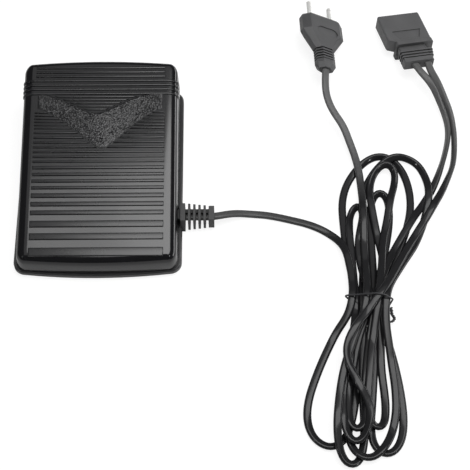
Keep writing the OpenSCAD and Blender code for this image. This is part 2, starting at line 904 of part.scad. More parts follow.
module triac() {
    color("#1b1b1b")
        translate([triac_x, triac_y, board_top + sink_t]) {
            translate([-triac_w / 2, -triac_l / 2, 0])
                cube([triac_w, triac_l, triac_t]);
            difference() {
                translate([-triac_w / 2, triac_l / 2 - eps, 0])
                    cube([triac_w, tab_l, tab_t]);
                translate([0, triac_hole_y - triac_y, -over])
                    cylinder(r = triac_hole_r + 4 * screw_gap, h = tab_t + 2 * over);
            }
            for (k = [-1, 0, 1])
                translate([k * leg_pitch - leg_r, -triac_l / 2 - leg_l, 0]) {
                    translate([0, 0, leg_lift])
                        cube([2 * leg_r, leg_l + eps, 2 * leg_r]);
                    translate([0, 0, -sink_t])
                        cube([2 * leg_r, 2 * leg_r, sink_t + leg_lift + 2 * leg_r]);
                }
        }
}

module triac_screw() {
    color(steel)
        translate([triac_x, triac_hole_y, board_top + sink_t + tab_t])
            screw(triac_hole_r - screw_gap, tab_t + sink_t - 2 * hole_floor);
}

choke_x = -22;
choke_y = board_y - 15;
choke_in = 4.5;
choke_out = 8.5;
choke_h = 7;
choke_lift = 1.2;
wire_t = 1;

module choke_core() {
    color("#4b4b46")
        translate([choke_x, choke_y, board_top + choke_lift])
            difference() {
                cylinder(r = choke_out, h = choke_h);
                translate([0, 0, -over])
                    cylinder(r = choke_in, h = choke_h + 2 * over);
            }
}

module choke_winding() {
    turns = 9;
    gap = 0.05;
    first = 15;
    fan = 150;
    color("#a8572a")
        translate([choke_x, choke_y, board_top + choke_lift])
            for (side = [0, 180])
                for (i = [0 : turns - 1])
                    rotate([0, 0, side + first + fan * i / (turns - 1)])
                        translate([0, wire_t / 2, 0])
                            rotate([90, 0, 0])
                                linear_extrude(wire_t)
                                    difference() {
                                        translate([choke_in - gap - wire_t, -gap - wire_t])
                                            square([choke_out - choke_in + 2 * (gap + wire_t),
                                                choke_h + 2 * (gap + wire_t)]);
                                        translate([choke_in - gap, -gap])
                                            square([choke_out - choke_in + 2 * gap, choke_h + 2 * gap]);
                                    }
}

module capacitor() {
    size = [18, 7, 11];
    at = [-7, board_y - 20, board_top];
    lift = 0.4;
    leg_inset = 1.5;
    color("#b08a2e")
        translate(at) {
            translate([0, 0, lift])
                cube(size);
            for (x = [leg_inset, size[0] - leg_inset])
                translate([x, size[1] / 2, 0])
                    cylinder(r = leg_r, h = lift + eps);
        }
}

fuse_x = 19;
fuse_y = board_y + 8;
fuse_r = 2.6;
fuse_l = 20;
fuse_z = board_top + 5;
fuse_cap_l = 5;
fuse_cap_t = 0.2;

module fuse() {
    color("#cfd3d6")
        translate([fuse_x, fuse_y, fuse_z])
            rotate([90, 0, 0]) {
                cylinder(r = fuse_r - fuse_cap_t, h = fuse_l - fuse_cap_l, center = true);
                for (s = [-1, 1])
                    translate([0, 0, s * (fuse_l / 2 - fuse_cap_l / 2)])
                        cylinder(r = fuse_r, h = fuse_cap_l, center = true);
            }
}

module fuse_clips() {
    clip_w = 4;
    clip_h = 6;
    cheek = 0.6;
    gap = 0.05;
    color(brass)
        for (s = [-1, 1])
            translate([fuse_x, fuse_y + s * (fuse_l - fuse_cap_l) / 2, board_top])
                difference() {
                    translate([-fuse_r - cheek - gap, -clip_w / 2, 0])
                        cube([2 * (fuse_r + cheek + gap), clip_w, clip_h]);
                    translate([0, 0, fuse_z - board_top])
                        rotate([90, 0, 0])
                            cylinder(r = fuse_r + gap, h = clip_w + 2 * over, center = true);
                    translate([-fuse_r + cheek, -clip_w, fuse_z - board_top])
                        cube([2 * (fuse_r - cheek), 2 * clip_w, clip_h]);
                }
}

module resistors() {
    body_r = 1.7;
    body_l = 9;
    span = 13;
    lift = 3;
    spacing = 4.2;
    first_x = 8.6;
    color("#7d8f9c")
        for (i = [0, 1])
            translate([first_x + spacing * i, board_y, board_top + lift]) {
                rotate([90, 0, 0])
                    cylinder(r = body_r, h = body_l, center = true);
                for (s = [-1, 1]) {
                    rotate([s * 90, 0, 0])
                        cylinder(r = leg_r, h = span / 2);
                    translate([0, s * span / 2, -lift])
                        cylinder(r = leg_r, h = lift + leg_r);
                }
            }
}

block = [11, 14, 10];
block_edge = 8;
block_x = board_w / 2 - block_edge - block[0];
block_y = exit_y - block[1] / 2;
terminal_hole_r = 1.5;
terminal_hole_l = 8;
terminal_z = board_top + 4;
terminal_screw_x = block_x + 4;
terminal_screw_z = board_top + 6.5;
terminal_screw_r = 1.85;
function terminal_y(k) = block_y + block[1] * (0.25 + 0.5 * k);

module terminal_block() {
    color("#3f7a57")
        difference() {
            translate([block_x, block_y, board_top])
                cube(block);
            for (k = [0, 1]) {
                translate([block_x + block[0] - terminal_hole_l, terminal_y(k), terminal_z])
                    rotate([0, 90, 0])
                        cylinder(r = terminal_hole_r, h = terminal_hole_l + over);
                translate([terminal_screw_x, terminal_y(k), terminal_screw_z])
                    cylinder(r = terminal_screw_r + screw_gap, h = block[2]);
            }
        }
}

module terminal_screws() {
    head_h = 2;
    slot = [3 * terminal_screw_r, 0.6, 1.2];
    color(steel)
        for (k = [0, 1])
            translate([terminal_screw_x, terminal_y(k), terminal_screw_z])
                difference() {
                    cylinder(r = terminal_screw_r, h = head_h);
                    translate([0, 0, head_h])
                        cube(slot, center = true);
                }
}

module cord_clamp() {
    bar_l = 2 * (clamp_screw_y + boss_r);
    color(steel)
        difference() {
            translate([clamp_x - clamp_bar_w / 2, exit_y - bar_l / 2, exit_z + cord_t / 2])
                cube([clamp_bar_w, bar_l, clamp_bar_t]);
            for (s = [-1, 1])
                translate([clamp_x, exit_y + s * clamp_screw_y, exit_z])
                    cylinder(r = clamp_screw_r + 2 * screw_gap, h = cut_h);
        }
}

module clamp_screws() {
    color(steel)
        for (s = [-1, 1])
            translate([clamp_x, exit_y + s * clamp_screw_y, exit_z + cord_t / 2 + clamp_bar_t])
                screw(clamp_screw_r - screw_gap, clamp_bar_t + clamp_screw_l);
}

// A flat tube swept along hand-picked route points
function route_at(p, i) = p[max(0, min(len(p) - 1, i))];
function unit(v) = v / norm(v);
function along(p, i) = unit(route_at(p, i + 1) - route_at(p, i - 1));
function flat_ring(at, dir, w, h, sides) =
    let (
        side = unit(cross(dir, [0, 0, 1])),
        up = cross(side, dir)
    )
    [for (j = [0 : sides - 1]) let (a = 360 * (j + 0.5) / sides)
        at + side * (w / 2 * cos(a)) + up * (h / 2 * sin(a))];
module flat_tube(route, w, h, sides) {
    tube_mesh([for (i = [0 : len(route) - 1]) flat_ring(route[i], along(route, i), w, h, sides)]);
}

module lead_wires() {
    wire = 2;
    wire_gap = 2.4;
    start = clamp_x - clamp_bar_w / 2 - 1;
    end = block_x + block[0] - terminal_hole_l + 3;
    color(rubber_black) {
        for (k = [0, 1]) {
            y1 = terminal_y(k);
            y0 = exit_y + (k - 0.5) * wire_gap;
            flat_tube([
                [start + 1, y0, exit_z], [start - 1, y0, exit_z + 0.5],
                [start - 3, (y0 + y1) / 2, exit_z + 2.5], [start - 6, y1, terminal_z], [end, y1, terminal_z]
            ], wire, wire, 8);
        }
        translate([start, exit_y - cord_w / 2, exit_z - cord_t / 2])
            cube([half_w - start, cord_w, cord_t]);
    }
}

module strain_relief() {
    seat_gap = 0.05;
    foot_lift = 0.5;
    inner_x = rim_half_w - base_wall - relief_inner_t;
    end_x = relief_tip - relief_end_t;
    slot_l = (end_x - relief_root_end - relief_ribs * relief_rib_t) / (relief_ribs + 1);
    step = slot_l + relief_rib_t;
    root_h = relief_root / 2 + exit_z - foot_lift;
    bore = [relief_tip + over, cord_w + 2 * exit_bore_gap, cord_t + 2 * exit_bore_gap];
    color(dark_grey)
        translate([0, exit_y, exit_z])
            difference() {
                union() {
                    translate([inner_x, -relief_core / 2, -relief_core / 2])
                        cube([relief_tip - inner_x - eps, relief_core, relief_core]);
                    translate([inner_x - seat_gap, -relief_inner / 2, -relief_core / 2])
                        cube([relief_inner_t, relief_inner, relief_core]);
                    translate([relief_root_x, -relief_root / 2, foot_lift - exit_z])
                        cube([relief_root_end - relief_root_x, relief_root, root_h]);
                    for (i = [0 : relief_ribs - 1]) {
                        size = relief_root + (relief_end - relief_root) * (i + 1) / (relief_ribs + 1);
                        translate([relief_root_end + slot_l + i * step, -size / 2, -size / 2])
                            cube([relief_rib_t, size, size]);
                    }
                    translate([relief_tip - relief_end_t / 2, 0, 0])
                        cube([relief_end_t, relief_end, relief_end], center = true);
                }
                translate([0, -bore[1] / 2, -bore[2] / 2])
                    cube(bore);
                for (i = [0 : relief_ribs])
                    translate([relief_root_end + slot_edge + i * step, -relief_core, -relief_core])
                        cube([slot_l - 2 * slot_edge, relief_core + slot_reach, 2 * relief_core]);
            }
}

module pedal_cord() {
    color(rubber_black)
        flat_tube(pedal_route, cord_w, cord_t, cord_sides);
}

module hank_outline() {
    hull() {
        translate(hank_up)
            circle(hank_loop_r, $fn = hull_fn);
        translate(hank_waist)
            circle(hank_waist_r, $fn = hull_fn);
    }
    hull() {
        translate(hank_down)
            circle(hank_loop_r, $fn = hull_fn);
        translate(hank_waist)
            circle(hank_waist_r, $fn = hull_fn);
    }
}

module cord_hank() {
    color(rubber_black)
        linear_extrude(hank_h)
            hank_outline();
}

module hank_tie() {
    inner = hank_waist_r + tie_side_gap;
    outer = inner + tie_t;
    color(rubber_black)
        translate([hank_waist[0], hank_waist[1], 0])
            rotate([0, 0, tie_turn]) {
                difference() {
                    translate([-outer, -tie_w / 2, 0])
                        cube([2 * outer, tie_w, hank_h + tie_top_gap + tie_t]);
                    translate([-inner, -tie_w, -over])
                        cube([2 * inner, 2 * tie_w, hank_h + tie_top_gap + over]);
                }
                translate([outer + tie_end_r / 2, 0, tie_end_r])
                    rotate([90, 0, tie_end_turn])
                        cylinder(r = tie_end_r, h = tie_end_l);
            }
}

module mains_cord() {
    color(rubber_black)
        flat_tube(mains_route, cord_w, cord_t, cord_sides);
}

module at_plug() {
    translate(plug_at)
        rotate([0, 0, plug_turn])
            rotate([plug_pitch, 0, 0])
                rotate([0, plug_roll, 0])
                    children();
}

// A rectangle round the middle with its corners cut off by bx across and by on the height
function bevelled(w, h, bx, by) = [
    [-w / 2, h / 2 - by], [-w / 2, by - h / 2], [bx - w / 2, -h / 2], [w / 2 - bx, -h / 2],
    [w / 2, by - h / 2], [w / 2, h / 2 - by], [w / 2 - bx, h / 2], [bx - w / 2, h / 2]
];

// A bevelled slice of the plug from y back by l
module plug_section(w, t, bx, by, y, l) {
    translate([0, y, 0])
        rotate([90, 0, 0])
            linear_extrude(l)
                polygon(bevelled(w, t, bx, by));
}

// A slice of the plug's ribbed neck, smaller by inset all round
module neck_section(inset, y, l) {
    plug_section(plug_neck_w - 2 * inset, plug_neck_t - 2 * inset, neck_bevel, neck_bevel_h, y, l);
}

// The plug's body: chamfered face, straight part, and a taper into the neck
module plug_form() {
    face = [plug_w - 2 * face_inset, plug_t - 2 * face_inset];
    hull() {
        plug_section(face[0], face[1], plug_bevel, plug_bevel_h, 0, section_l);
        plug_section(plug_w, plug_t, plug_bevel, plug_bevel_h, -face_edge_l, plug_l / 2 - face_edge_l);
        neck_section(0, section_l - plug_l, section_l);
    }
}

// Finger recess on each broad face
module grip_outline() {
    hull()
        for (s = [-1, 1])
            translate([s * grip_l / 2, 0])
                circle(grip_r, $fn = hull_fn);
}

// Rings round the neck and the block at its end
module plug_neck() {
    end_y = -plug_l - plug_neck_l;
    neck_section(neck_rib_h, over - plug_l, plug_neck_l - plug_end_l + 2 * over);
    for (i = [0 : neck_rib_count - 1])
        neck_section(0, -plug_l - neck_first_rib - neck_rib_pitch * i, neck_rib_l);
    hull() {
        neck_section(0, end_y + plug_end_l, plug_end_l / 2);
        neck_section(plug_end_inset, end_y + section_l, section_l);
    }
}

module plug_body() {
    color(dark_grey)
        at_plug()
            difference() {
                union() {
                    plug_form();
                    plug_neck();
                }
                for (s = [-1, 1]) {
                    translate([s * plug_pin_gap / 2, over, 0])
                        rotate([90, 0, 0])
                            cylinder(r = plug_root_r + plug_pin_fit, h = plug_pin_root + 2 * over);
                    translate([grip_x, -plug_l / 2, s * plug_t / 2])
                        linear_extrude(2 * grip_d, center = true)
                            grip_outline();
                }
            }
}

module plug_pins() {
    free_l = plug_pin_l - plug_pin_r;
    color(steel)
        at_plug()
            for (s = [-1, 1])
                translate([s * plug_pin_gap / 2, 0, 0])
                    rotate([-90, 0, 0]) {
                        translate([0, 0, -plug_pin_root])
                            cylinder(r = plug_root_r, h = plug_pin_root + eps);
                        cylinder(r = plug_pin_r, h = free_l);
                        translate([0, 0, free_l])
                            sphere(plug_pin_r);
                    }
}

module at_connector() {
    translate(conn_at)
        rotate([0, 0, conn_turn])
            rotate([conn_pitch, 0, 0])
                rotate([0, conn_roll, 0])
                    children();
}

// Plan of the connector's wide part, with one corner cut off beside the collar
module connector_outline() {
    r = conn_corner_r;
    x = conn_w / 2 - r;
    offset(r)
        polygon([
            [-x, conn_l - r], [x, conn_l - r], [x, r], [corner_cut[0] - x, r], [-x, corner_cut[1] + r]
        ]);
}

// A bevelled bar across the neck from y back by l, level with the neck's left side
module neck_bar(w, low, high, y, l) {
    translate([neck_left + w / 2, y, (low + high) / 2])
        rotate([90, 0, 0])
            linear_extrude(l)
                polygon(bevelled(w, high - low, conn_bevel, conn_bevel));
}

module connector_neck() {
    core_w = conn_neck_w - 2 * conn_rib_h;
    neck_bar(collar_w + collar_edge, -collar_drop, conn_t + collar_edge, collar_lap, collar_lap + collar_l);
    translate([conn_rib_h, 0, 0])
        neck_bar(core_w, neck_low + conn_rib_h, neck_high - conn_rib_h, over, conn_neck_l);
    for (i = [0 : conn_rib_count - 1]) {
        y = conn_first_rib + conn_rib_pitch * i;
        w = collar_w + (conn_neck_w - collar_w) * y / conn_neck_l;
        neck_bar(w, neck_low, neck_high, -y, conn_rib_l);
    }
    neck_bar(conn_neck_w, neck_low, neck_high, conn_end_l - conn_neck_l, conn_end_l);
}

module connector_body() {
    color(dark_grey)
        at_connector()
            difference() {
                union() {
                    intersection() {
                        linear_extrude(conn_t)
                            connector_outline();
                        translate([0, 0, conn_t / 2])
                            rotate([-90, 0, 0])
                                linear_extrude(conn_l)
                                    polygon(bevelled(conn_w, conn_t, conn_bevel, conn_bevel));
                    }
                    connector_neck();
                }
                for (k = [-1, 0, 1])
                    translate([k * socket_gap, conn_l - socket_l, conn_t / 2])
                        rotate([-90, 0, 0]) {
                            cylinder(r = socket_r + sleeve_t + sleeve_gap, h = socket_l - socket_step);
                            cylinder(r = socket_r, h = socket_l + over);
                        }
                translate([0, recess_y, conn_t - conn_recess_d])
                    linear_extrude(conn_t)
                        polygon(conn_recess);
            }
}

module connector_contacts() {
    color(brass)
        at_connector()
            for (k = [-1, 0, 1])
                translate([k * socket_gap, conn_l - socket_l, conn_t / 2])
                    rotate([-90, 0, 0])
                        difference() {
                            cylinder(r = socket_r + sleeve_t, h = socket_l - socket_step);
                            translate([0, 0, sleeve_t])
                                cylinder(r = contact_r, h = socket_l);
                        }
}

module connector_cord_inner() {
    color(rubber_black)
        flat_tube(conn_inner_route, cord_w, cord_t, cord_sides);
}

module connector_cord_outer() {
    color(rubber_black)
        flat_tube(conn_outer_route, cord_w, cord_t, cord_sides);
}

base_shell();
rubber_feet();
hinge_pin();
pin_clips();
foot_plate();
return_springs();
circuit_board();
board_screws();
potentiometer_body();
potentiometer_slider();
heat_sink();
triac();
triac_screw();
choke_core();
choke_winding();
capacitor();
fuse();
fuse_clips();
resistors();
terminal_block();
terminal_screws();
cord_clamp();
clamp_screws();
lead_wires();
strain_relief();
pedal_cord();
cord_hank();
hank_tie();
mains_cord();
plug_body();
plug_pins();
connector_cord_inner();
connector_cord_outer();
connector_body();
connector_contacts();
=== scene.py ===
"""Sewing machine foot pedal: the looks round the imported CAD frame.

The frame is in metres. Sizes of the object are written here in millimetres and turned into metres by MM.
"""
import json
import math

import bmesh
import bpy
import numpy as np
from mathutils import Matrix, Vector, noise


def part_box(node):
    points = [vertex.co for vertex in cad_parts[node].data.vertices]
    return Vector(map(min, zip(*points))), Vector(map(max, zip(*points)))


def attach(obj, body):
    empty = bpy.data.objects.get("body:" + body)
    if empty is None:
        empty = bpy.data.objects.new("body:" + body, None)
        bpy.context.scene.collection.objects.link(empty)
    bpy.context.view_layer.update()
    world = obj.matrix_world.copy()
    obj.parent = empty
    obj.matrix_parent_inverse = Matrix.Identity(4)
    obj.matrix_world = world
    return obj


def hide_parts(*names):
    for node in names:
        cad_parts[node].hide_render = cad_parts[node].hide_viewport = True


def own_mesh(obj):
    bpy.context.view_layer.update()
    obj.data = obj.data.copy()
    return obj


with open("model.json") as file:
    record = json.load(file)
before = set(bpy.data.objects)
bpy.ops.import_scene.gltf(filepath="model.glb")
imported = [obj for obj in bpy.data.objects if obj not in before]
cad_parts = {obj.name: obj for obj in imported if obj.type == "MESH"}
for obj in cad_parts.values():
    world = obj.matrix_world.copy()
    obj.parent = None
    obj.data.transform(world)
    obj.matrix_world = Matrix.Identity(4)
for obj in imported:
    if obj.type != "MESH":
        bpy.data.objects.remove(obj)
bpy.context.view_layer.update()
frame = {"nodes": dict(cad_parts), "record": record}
MM = 0.001


def link_object(name, data):
    """Adds an object that holds the given mesh, lamp or camera to the scene."""
    obj = bpy.data.objects.new(name, data)
    bpy.context.scene.collection.objects.link(obj)
    return obj


# Camera: 60 degrees above the floor, square to the pedal but for half a degree
CAM_ELEVATION = math.radians(60)
CAM_YAW = math.radians(0.45)
CAM_TARGET = Vector((101.4, -46.5, 0)) * MM
CAM_DISTANCE = 1050.6 * MM
CAM_SENSOR = 36.0
CAM_FOCAL_PIXELS = 1400
IMAGE_PIXELS = 470


def make_camera():
    """Points the camera at its target from the elevation and yaw above."""
    rise, yaw = CAM_ELEVATION, CAM_YAW
    right = Vector((math.cos(yaw), -math.sin(yaw), 0))
    up = Vector((math.sin(yaw) * math.sin(rise), math.cos(yaw) * math.sin(rise), math.cos(rise)))
    back = right.cross(up)
    data = bpy.data.cameras.new("camera")
    data.sensor_width = CAM_SENSOR
    data.lens = CAM_SENSOR * CAM_FOCAL_PIXELS / IMAGE_PIXELS
    camera = link_object("camera", data)
    turn = Matrix((right, up, back)).transposed().to_4x4()
    camera.matrix_world = Matrix.Translation(CAM_TARGET + back * CAM_DISTANCE) @ turn
    bpy.context.scene.camera = camera


make_camera()


# Meshes
def mesh_of(name, verts, faces):
    """A mesh with smooth shading, from points in metres."""
    mesh = bpy.data.meshes.new(name)
    mesh.from_pydata([tuple(v) for v in verts], [], faces)
    mesh.polygons.foreach_set("use_smooth", [True] * len(mesh.polygons))
    mesh.update()
    return mesh


def loft_faces(n, k, closed=False):
    """Faces that join n rings of k points. The ends are capped, or the last ring joins the first one."""
    faces = [(i * k + j, i * k + (j + 1) % k, (i + 1) % n * k + (j + 1) % k, (i + 1) % n * k + j)
             for i in range(n if closed else n - 1) for j in range(k)]
    if not closed:
        faces += [tuple(range(k - 1, -1, -1)), tuple(range((n - 1) * k, n * k))]
    return faces


def new_piece(name, mesh, body="base"):
    """Links a mesh as a piece that rides on a body."""
    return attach(link_object(name, mesh), body)


class Shells:
    """Gathers closed shells, in millimetres, into one mesh: each shell has its own look."""

    def __init__(self):
        self.verts, self.faces, self.looks = [], [], []

    def add(self, verts, faces, look=0):
        """Adds one shell."""
        start = len(self.verts)
        self.verts += [tuple(v) for v in verts]
        self.faces += [tuple(start + i for i in f) for f in faces]
        self.looks += [look] * len(faces)

    def loft(self, rings, look=0, closed=False):
        """Adds a shell through rings of equally many points, with caps or closed into a loop."""
        self.add([p for ring in rings for p in ring], loft_faces(len(rings), len(rings[0]), closed), look)

    def block(self, low, high, look=0):
        """Adds a box between two corners."""
        (x0, y0, z0), (x1, y1, z1) = low, high
        self.loft([[(x0, y0, z), (x1, y0, z), (x1, y1, z), (x0, y1, z)] for z in (z0, z1)], look)

    def mesh(self, name, sharp=40):
        """The mesh of all shells, with hard edges where faces meet at more than sharp degrees."""
        mesh = mesh_of(name, np.array(self.verts) * MM, self.faces)
        mesh.polygons.foreach_set("material_index", self.looks)
        bm = bmesh.new()
        bm.from_mesh(mesh)
        bmesh.ops.recalc_face_normals(bm, faces=bm.faces)
        bm.to_mesh(mesh)
        bm.free()
        mesh.set_sharp_from_angle(angle=math.radians(sharp))
        return mesh


# Rings of a tube start from any direction that no tube starts along
RING_START = (0.31, 0.22, 0.92)


def tube_rings(path, radius, sides=10):
    """Rings round a path of points, turned as little as possible from one to the next."""
    path = np.asarray(path, float)
    along = np.gradient(path, axis=0)
    along /= np.linalg.norm(along, axis=1)[:, None]
    side = np.cross(along[0], RING_START)
    rings = []
    for p, d in zip(path, along):
        side = side - d * side.dot(d)
        side /= np.linalg.norm(side)
        up = np.cross(d, side)
        rings.append([tuple(p + radius * (math.cos(a) * side + math.sin(a) * up))
                      for a in np.linspace(0, 2 * math.pi, sides, endpoint=False)])
    return rings


# Cords: both are flat, CORD_W wide and CORD_T thick, and are followed in steps of CORD_STEP
CORD_W = 5.9
CORD_T = 3.4
CORD_STEP = 2.5
# Folds are softened over this many steps each way
FOLD_REACH = 2
# The waist of the hank, where the tie lifts what lies this near to it
WAIST_X, WAIST_Y = 197.5, -104
TIED_HALF = 3
TIE_LIFT = 1.4
PEDAL_EXIT = (86, -36, 9.5)
PLUG_EXIT = (174, 91.4, 19.6)
# How far plug and connector lean to a side, in degrees, and how many steps a cord takes to turn with them
PLUG_ROLL = 27.3
CONN_ROLL = 6.4
END_STEPS = 16
# How far the cord turns on edge in a tight bend, in degrees: less at the foot of the hank
BEND_TURN = 56
LOW_BEND_TURN = 30
LOW_BENDS_Y = -150
# It begins to turn where the cord bends by so many radians a millimetre, and has turned all the way where the
# bend is sharper by the span
BEND_START, BEND_SPAN = 0.012, 0.035
# Steps over which bends, turns and heights are evened out
BEND_BLUR, ROLL_BLUR, LIFT_BLUR = 3, 6, 2
# Right of this x and between these two y, the cords run to the connector side by side and lean on each other
PAIR_X = 256
PAIR_Y = (-8, 82)
PAIR_LEAN = math.radians(70)
# A strand lies on its own cord only where the cord has run on this far
OWN_REACH = 30
# How steeply a strand comes down beside what it lies on
FALL_SLOPE = 0.3
# The strands have settled when none rises by more than this in a round, or after the last round
SETTLED = 0.001
SETTLE_ROUNDS = 80
# Along the cord from an end: matt and painted a paler grey, a painted sheen, up to the first length, and as
# new from the second one
SHEEN_AND_MATT_FADE = (50, 125)
# How matt and how pale with painted sheen the first and the last end are: 1 is fully so, and more than 1
# stays so for longer
PEDAL_SHEEN_AND_MATT = (0.55, 0.9)
MAINS_SHEEN_AND_MATT = (1.1, 0.9)

# Routes, seen from above, in the order in which the cord runs. A point with a third number is held at that
# height. All others lie on the floor or on what is under them. Each strand starts with its level: it lies
# over every strand of a lower level that it crosses.
PEDAL_STRANDS = [
    (9, [(63, -36, 9.5), (74, -36, 9.5), PEDAL_EXIT, (92, -34.2, 8.8), (99, -31.8, 6.4), (108, -30.2, 3.8),
         (121, -30), (133, -32.2), (143, -34.8), (157.5, -39.2), (168, -44.5), (176.5, -51.5), (182.2, -61),
         (185, -74), (186.5, -88), (186, -104), (182, -118), (173.5, -130), (165, -147), (157.5, -165),
         (152, -182), (150.5, -196)]),
    (1, [(153.5, -208), (160, -215), (168, -217), (176, -211), (181, -199), (185, -181), (188, -160),
         (190, -138), (191, -120), (190, -104), (187.5, -85), (184.5, -63), (183, -40), (183, -20),
         (187, -4.5), (195.5, 9.5), (205, 18.5)]),
    (2, [(214, 21.5), (222, 18.5), (229.5, 9), (234, -6), (234.5, -24), (230.5, -42.5), (222, -65),
         (213.5, -86), (208, -104), (209, -128), (214, -155), (217, -179), (217.5, -197), (215, -212),
         (209, -221)]),
    (3, [(202, -222.5), (196, -215.5), (194.5, -203), (196.5, -184), (199, -160), (200.8, -135),
         (202, -118), (202.5, -104), (203, -85), (203, -60), (203, -36), (206, -18)]),
    (4, [(212, -10.5), (217, -17), (218, -31), (215.5, -50), (210.5, -72), (206.5, -90), (204, -104),
         (205, -120), (205, -137), (204.2, -157), (205.4, -176), (205.4, -191), (202.8, -202)]),
    (10, [(198, -204.5), (192.5, -195), (191.5, -177), (194, -154), (198, -130), (201, -114), (205, -99),
          (214, -74), (227, -50), (237, -33), (247, -17.5), (252, -9), (259.2, 7.8), (265.2, 26.2),
          (268.2, 40.3, 3.4), (268.2, 49.7, 4.5), (266, 60, 6.5), (263, 68.8, 8.6), (258.3, 80.8, 12.8),
          (251.5, 89.6, 15.4), (247, 95, 16.6), (245.6, 98.8, 16.5), (245.1, 100.7, 16.2)]),
]
MAINS_STRANDS = [
    (8, [(173.9, 94, 19.2), PLUG_EXIT, (173.6, 88, 20), (173.3, 82, 19.5), (173.7, 70, 17),
         (178.2, 57.6, 13.5), (186, 45.2, 10), (190.3, 32.8, 7.5), (195, 16.2, 5.5), (197.3, -1.3, 4.5),
         (197.6, -30), (197, -62), (197, -88), (196, -104), (192.5, -121), (184.5, -141), (177, -163),
         (172.5, -186), (170.5, -206), (171.5, -219), (175, -228)]),
    (5, [(180, -231), (185.5, -226.5), (189, -214), (190, -195), (190.5, -170), (192, -142), (193, -121),
         (193.5, -104), (195.5, -82), (197.5, -54), (198, -30), (199, -14), (203.5, -2), (211, 9.5),
         (220.5, 16.5)]),
    (12, [(231, 19), (241, 15), (247.5, 2.5), (248.8, -14.5), (245, -33), (236, -56), (223, -79), (211, -103),
          (208.5, -125), (211, -150), (213, -175), (212, -195), (206.5, -212), (197.5, -224)]),
    (6, [(188, -226), (181, -219), (178, -205), (179, -185), (183.5, -160), (189.5, -135), (196, -118),
         (203, -104), (209, -88), (210.5, -72), (207, -46), (204, -13), (206.5, 0), (212, 8)]),
    (11, [(219, 11.5), (224, 6), (223, -6), (219.5, -18), (216, -36), (211.5, -56), (208.5, -80), (205, -104),
          (201, -126), (197, -150), (194, -174), (191.5, -194)]),
    (7, [(187, -206), (181, -205), (179, -188), (181, -163), (184.5, -138), (187.5, -119), (188.5, -104),
         (188, -84), (187.3, -62), (187, -44), (189, -30)]),
    (7.5, [(194, -23.5), (197.5, -31), (196, -42), (193.5, -54), (193, -66), (194.5, -80), (197, -95),
           (198, -106), (191, -123), (182.5, -146), (177, -171), (175, -193), (177, -209)]),
    (13, [(182, -216), (188, -213), (192.4, -204), (193.8, -194.5), (191, -182.5), (185, -170.5),
          (179.5, -158), (179.5, -147), (185.5, -134), (197, -118), (208, -103), (227, -67), (234, -54),
          (247, -33), (255.5, -18), (264.4, 0), (269.8, 13.5), (272.5, 35.2, 4), (271.8, 52.5, 5.5),
          (268.6, 64.8, 7.5), (264.3, 75.5, 10), (259.9, 87, 13), (256.7, 96, 15.6), (255.9, 101.2, 15.4),
          (255.4, 103.2, 15.1)]),
]


def smooth_curve(points, pieces=10):
    """A smooth curve through the points, and for each of its points the number of its stretch."""
    pts = np.vstack([2 * points[0] - points[1], points, 2 * points[-1] - points[-2]])
    curve, stretch = [], []
    for i in range(1, len(pts) - 2):
        p0, p1, p2, p3 = pts[i - 1:i + 3]
        t0 = 0.0
        t1 = t0 + np.sqrt(np.linalg.norm(p1 - p0))
        t2 = t1 + np.sqrt(np.linalg.norm(p2 - p1))
        t3 = t2 + np.sqrt(np.linalg.norm(p3 - p2))
        for t in np.linspace(t1, t2, pieces, endpoint=False):
            a1 = (t1 - t) / (t1 - t0) * p0 + (t - t0) / (t1 - t0) * p1
            a2 = (t2 - t) / (t2 - t1) * p1 + (t - t1) / (t2 - t1) * p2
            a3 = (t3 - t) / (t3 - t2) * p2 + (t - t2) / (t3 - t2) * p3
            b1 = (t2 - t) / (t2 - t0) * a1 + (t - t0) / (t2 - t0) * a2
            b2 = (t3 - t) / (t3 - t1) * a2 + (t - t1) / (t3 - t1) * a3
            curve.append((t2 - t) / (t2 - t1) * b1 + (t - t1) / (t2 - t1) * b2)
            stretch.append(i - 1)
    curve.append(pts[-2])
    stretch.append(len(points) - 2)
    return np.array(curve), np.array(stretch)


def blur(values, reach):
    """A running mean over reach steps each way. Past an end, the end's own value counts."""
    padded = np.pad(values, reach, mode="edge")
    return np.convolve(padded, np.ones(2 * reach + 1) / (2 * reach + 1), mode="valid")


def lay_out(strands):
    """Equal steps along a cord's route: points, levels, and how far the cord is turned on edge."""
    points = np.array([(p[0], p[1], p[2] if len(p) > 2 else 0.0) for _, ps in strands for p in ps])
    levels = np.array([level for level, ps in strands for _ in ps], float)
    curve, stretch = smooth_curve(points)
    run = np.concatenate([[0], np.cumsum(np.linalg.norm(np.diff(curve[:, :2], axis=0), axis=1))])
    at = np.linspace(0, run[-1], int(run[-1] / CORD_STEP) + 1)
    xyz = np.stack([np.interp(at, run, curve[:, k]) for k in range(3)], axis=1)
    softer = np.stack([blur(xyz[:, k], FOLD_REACH) for k in range(2)], axis=1)
    xyz[FOLD_REACH:-FOLD_REACH, :2] = softer[FOLD_REACH:-FOLD_REACH]
    level = levels[stretch[np.searchsorted(run, at, side="right").clip(1, len(run)) - 1]]
    heading = np.unwrap(np.arctan2(np.gradient(xyz[:, 1]), np.gradient(xyz[:, 0])))
    bend = blur(np.gradient(heading) / CORD_STEP, BEND_BLUR)
    share = np.clip((np.abs(bend) - BEND_START) / BEND_SPAN, 0, 1)
    most = np.radians(np.where(xyz[:, 1] < LOW_BENDS_Y, LOW_BEND_TURN, BEND_TURN))
    roll = blur(np.sign(bend) * most * share * share * (3 - 2 * share), ROLL_BLUR)
    return {"xyz": xyz, "level": level, "roll": roll}


def hold_roll(cord, start, end):
    """Turns the ends of a cord, in degrees, to enter their relief, plug or connector flat."""
    share = np.clip(np.arange(len(cord["roll"])) / END_STEPS, 0, 1)
    for angle, free in ((start, share), (end, share[::-1])):
        cord["roll"] = math.radians(angle) * (1 - free) + cord["roll"] * free


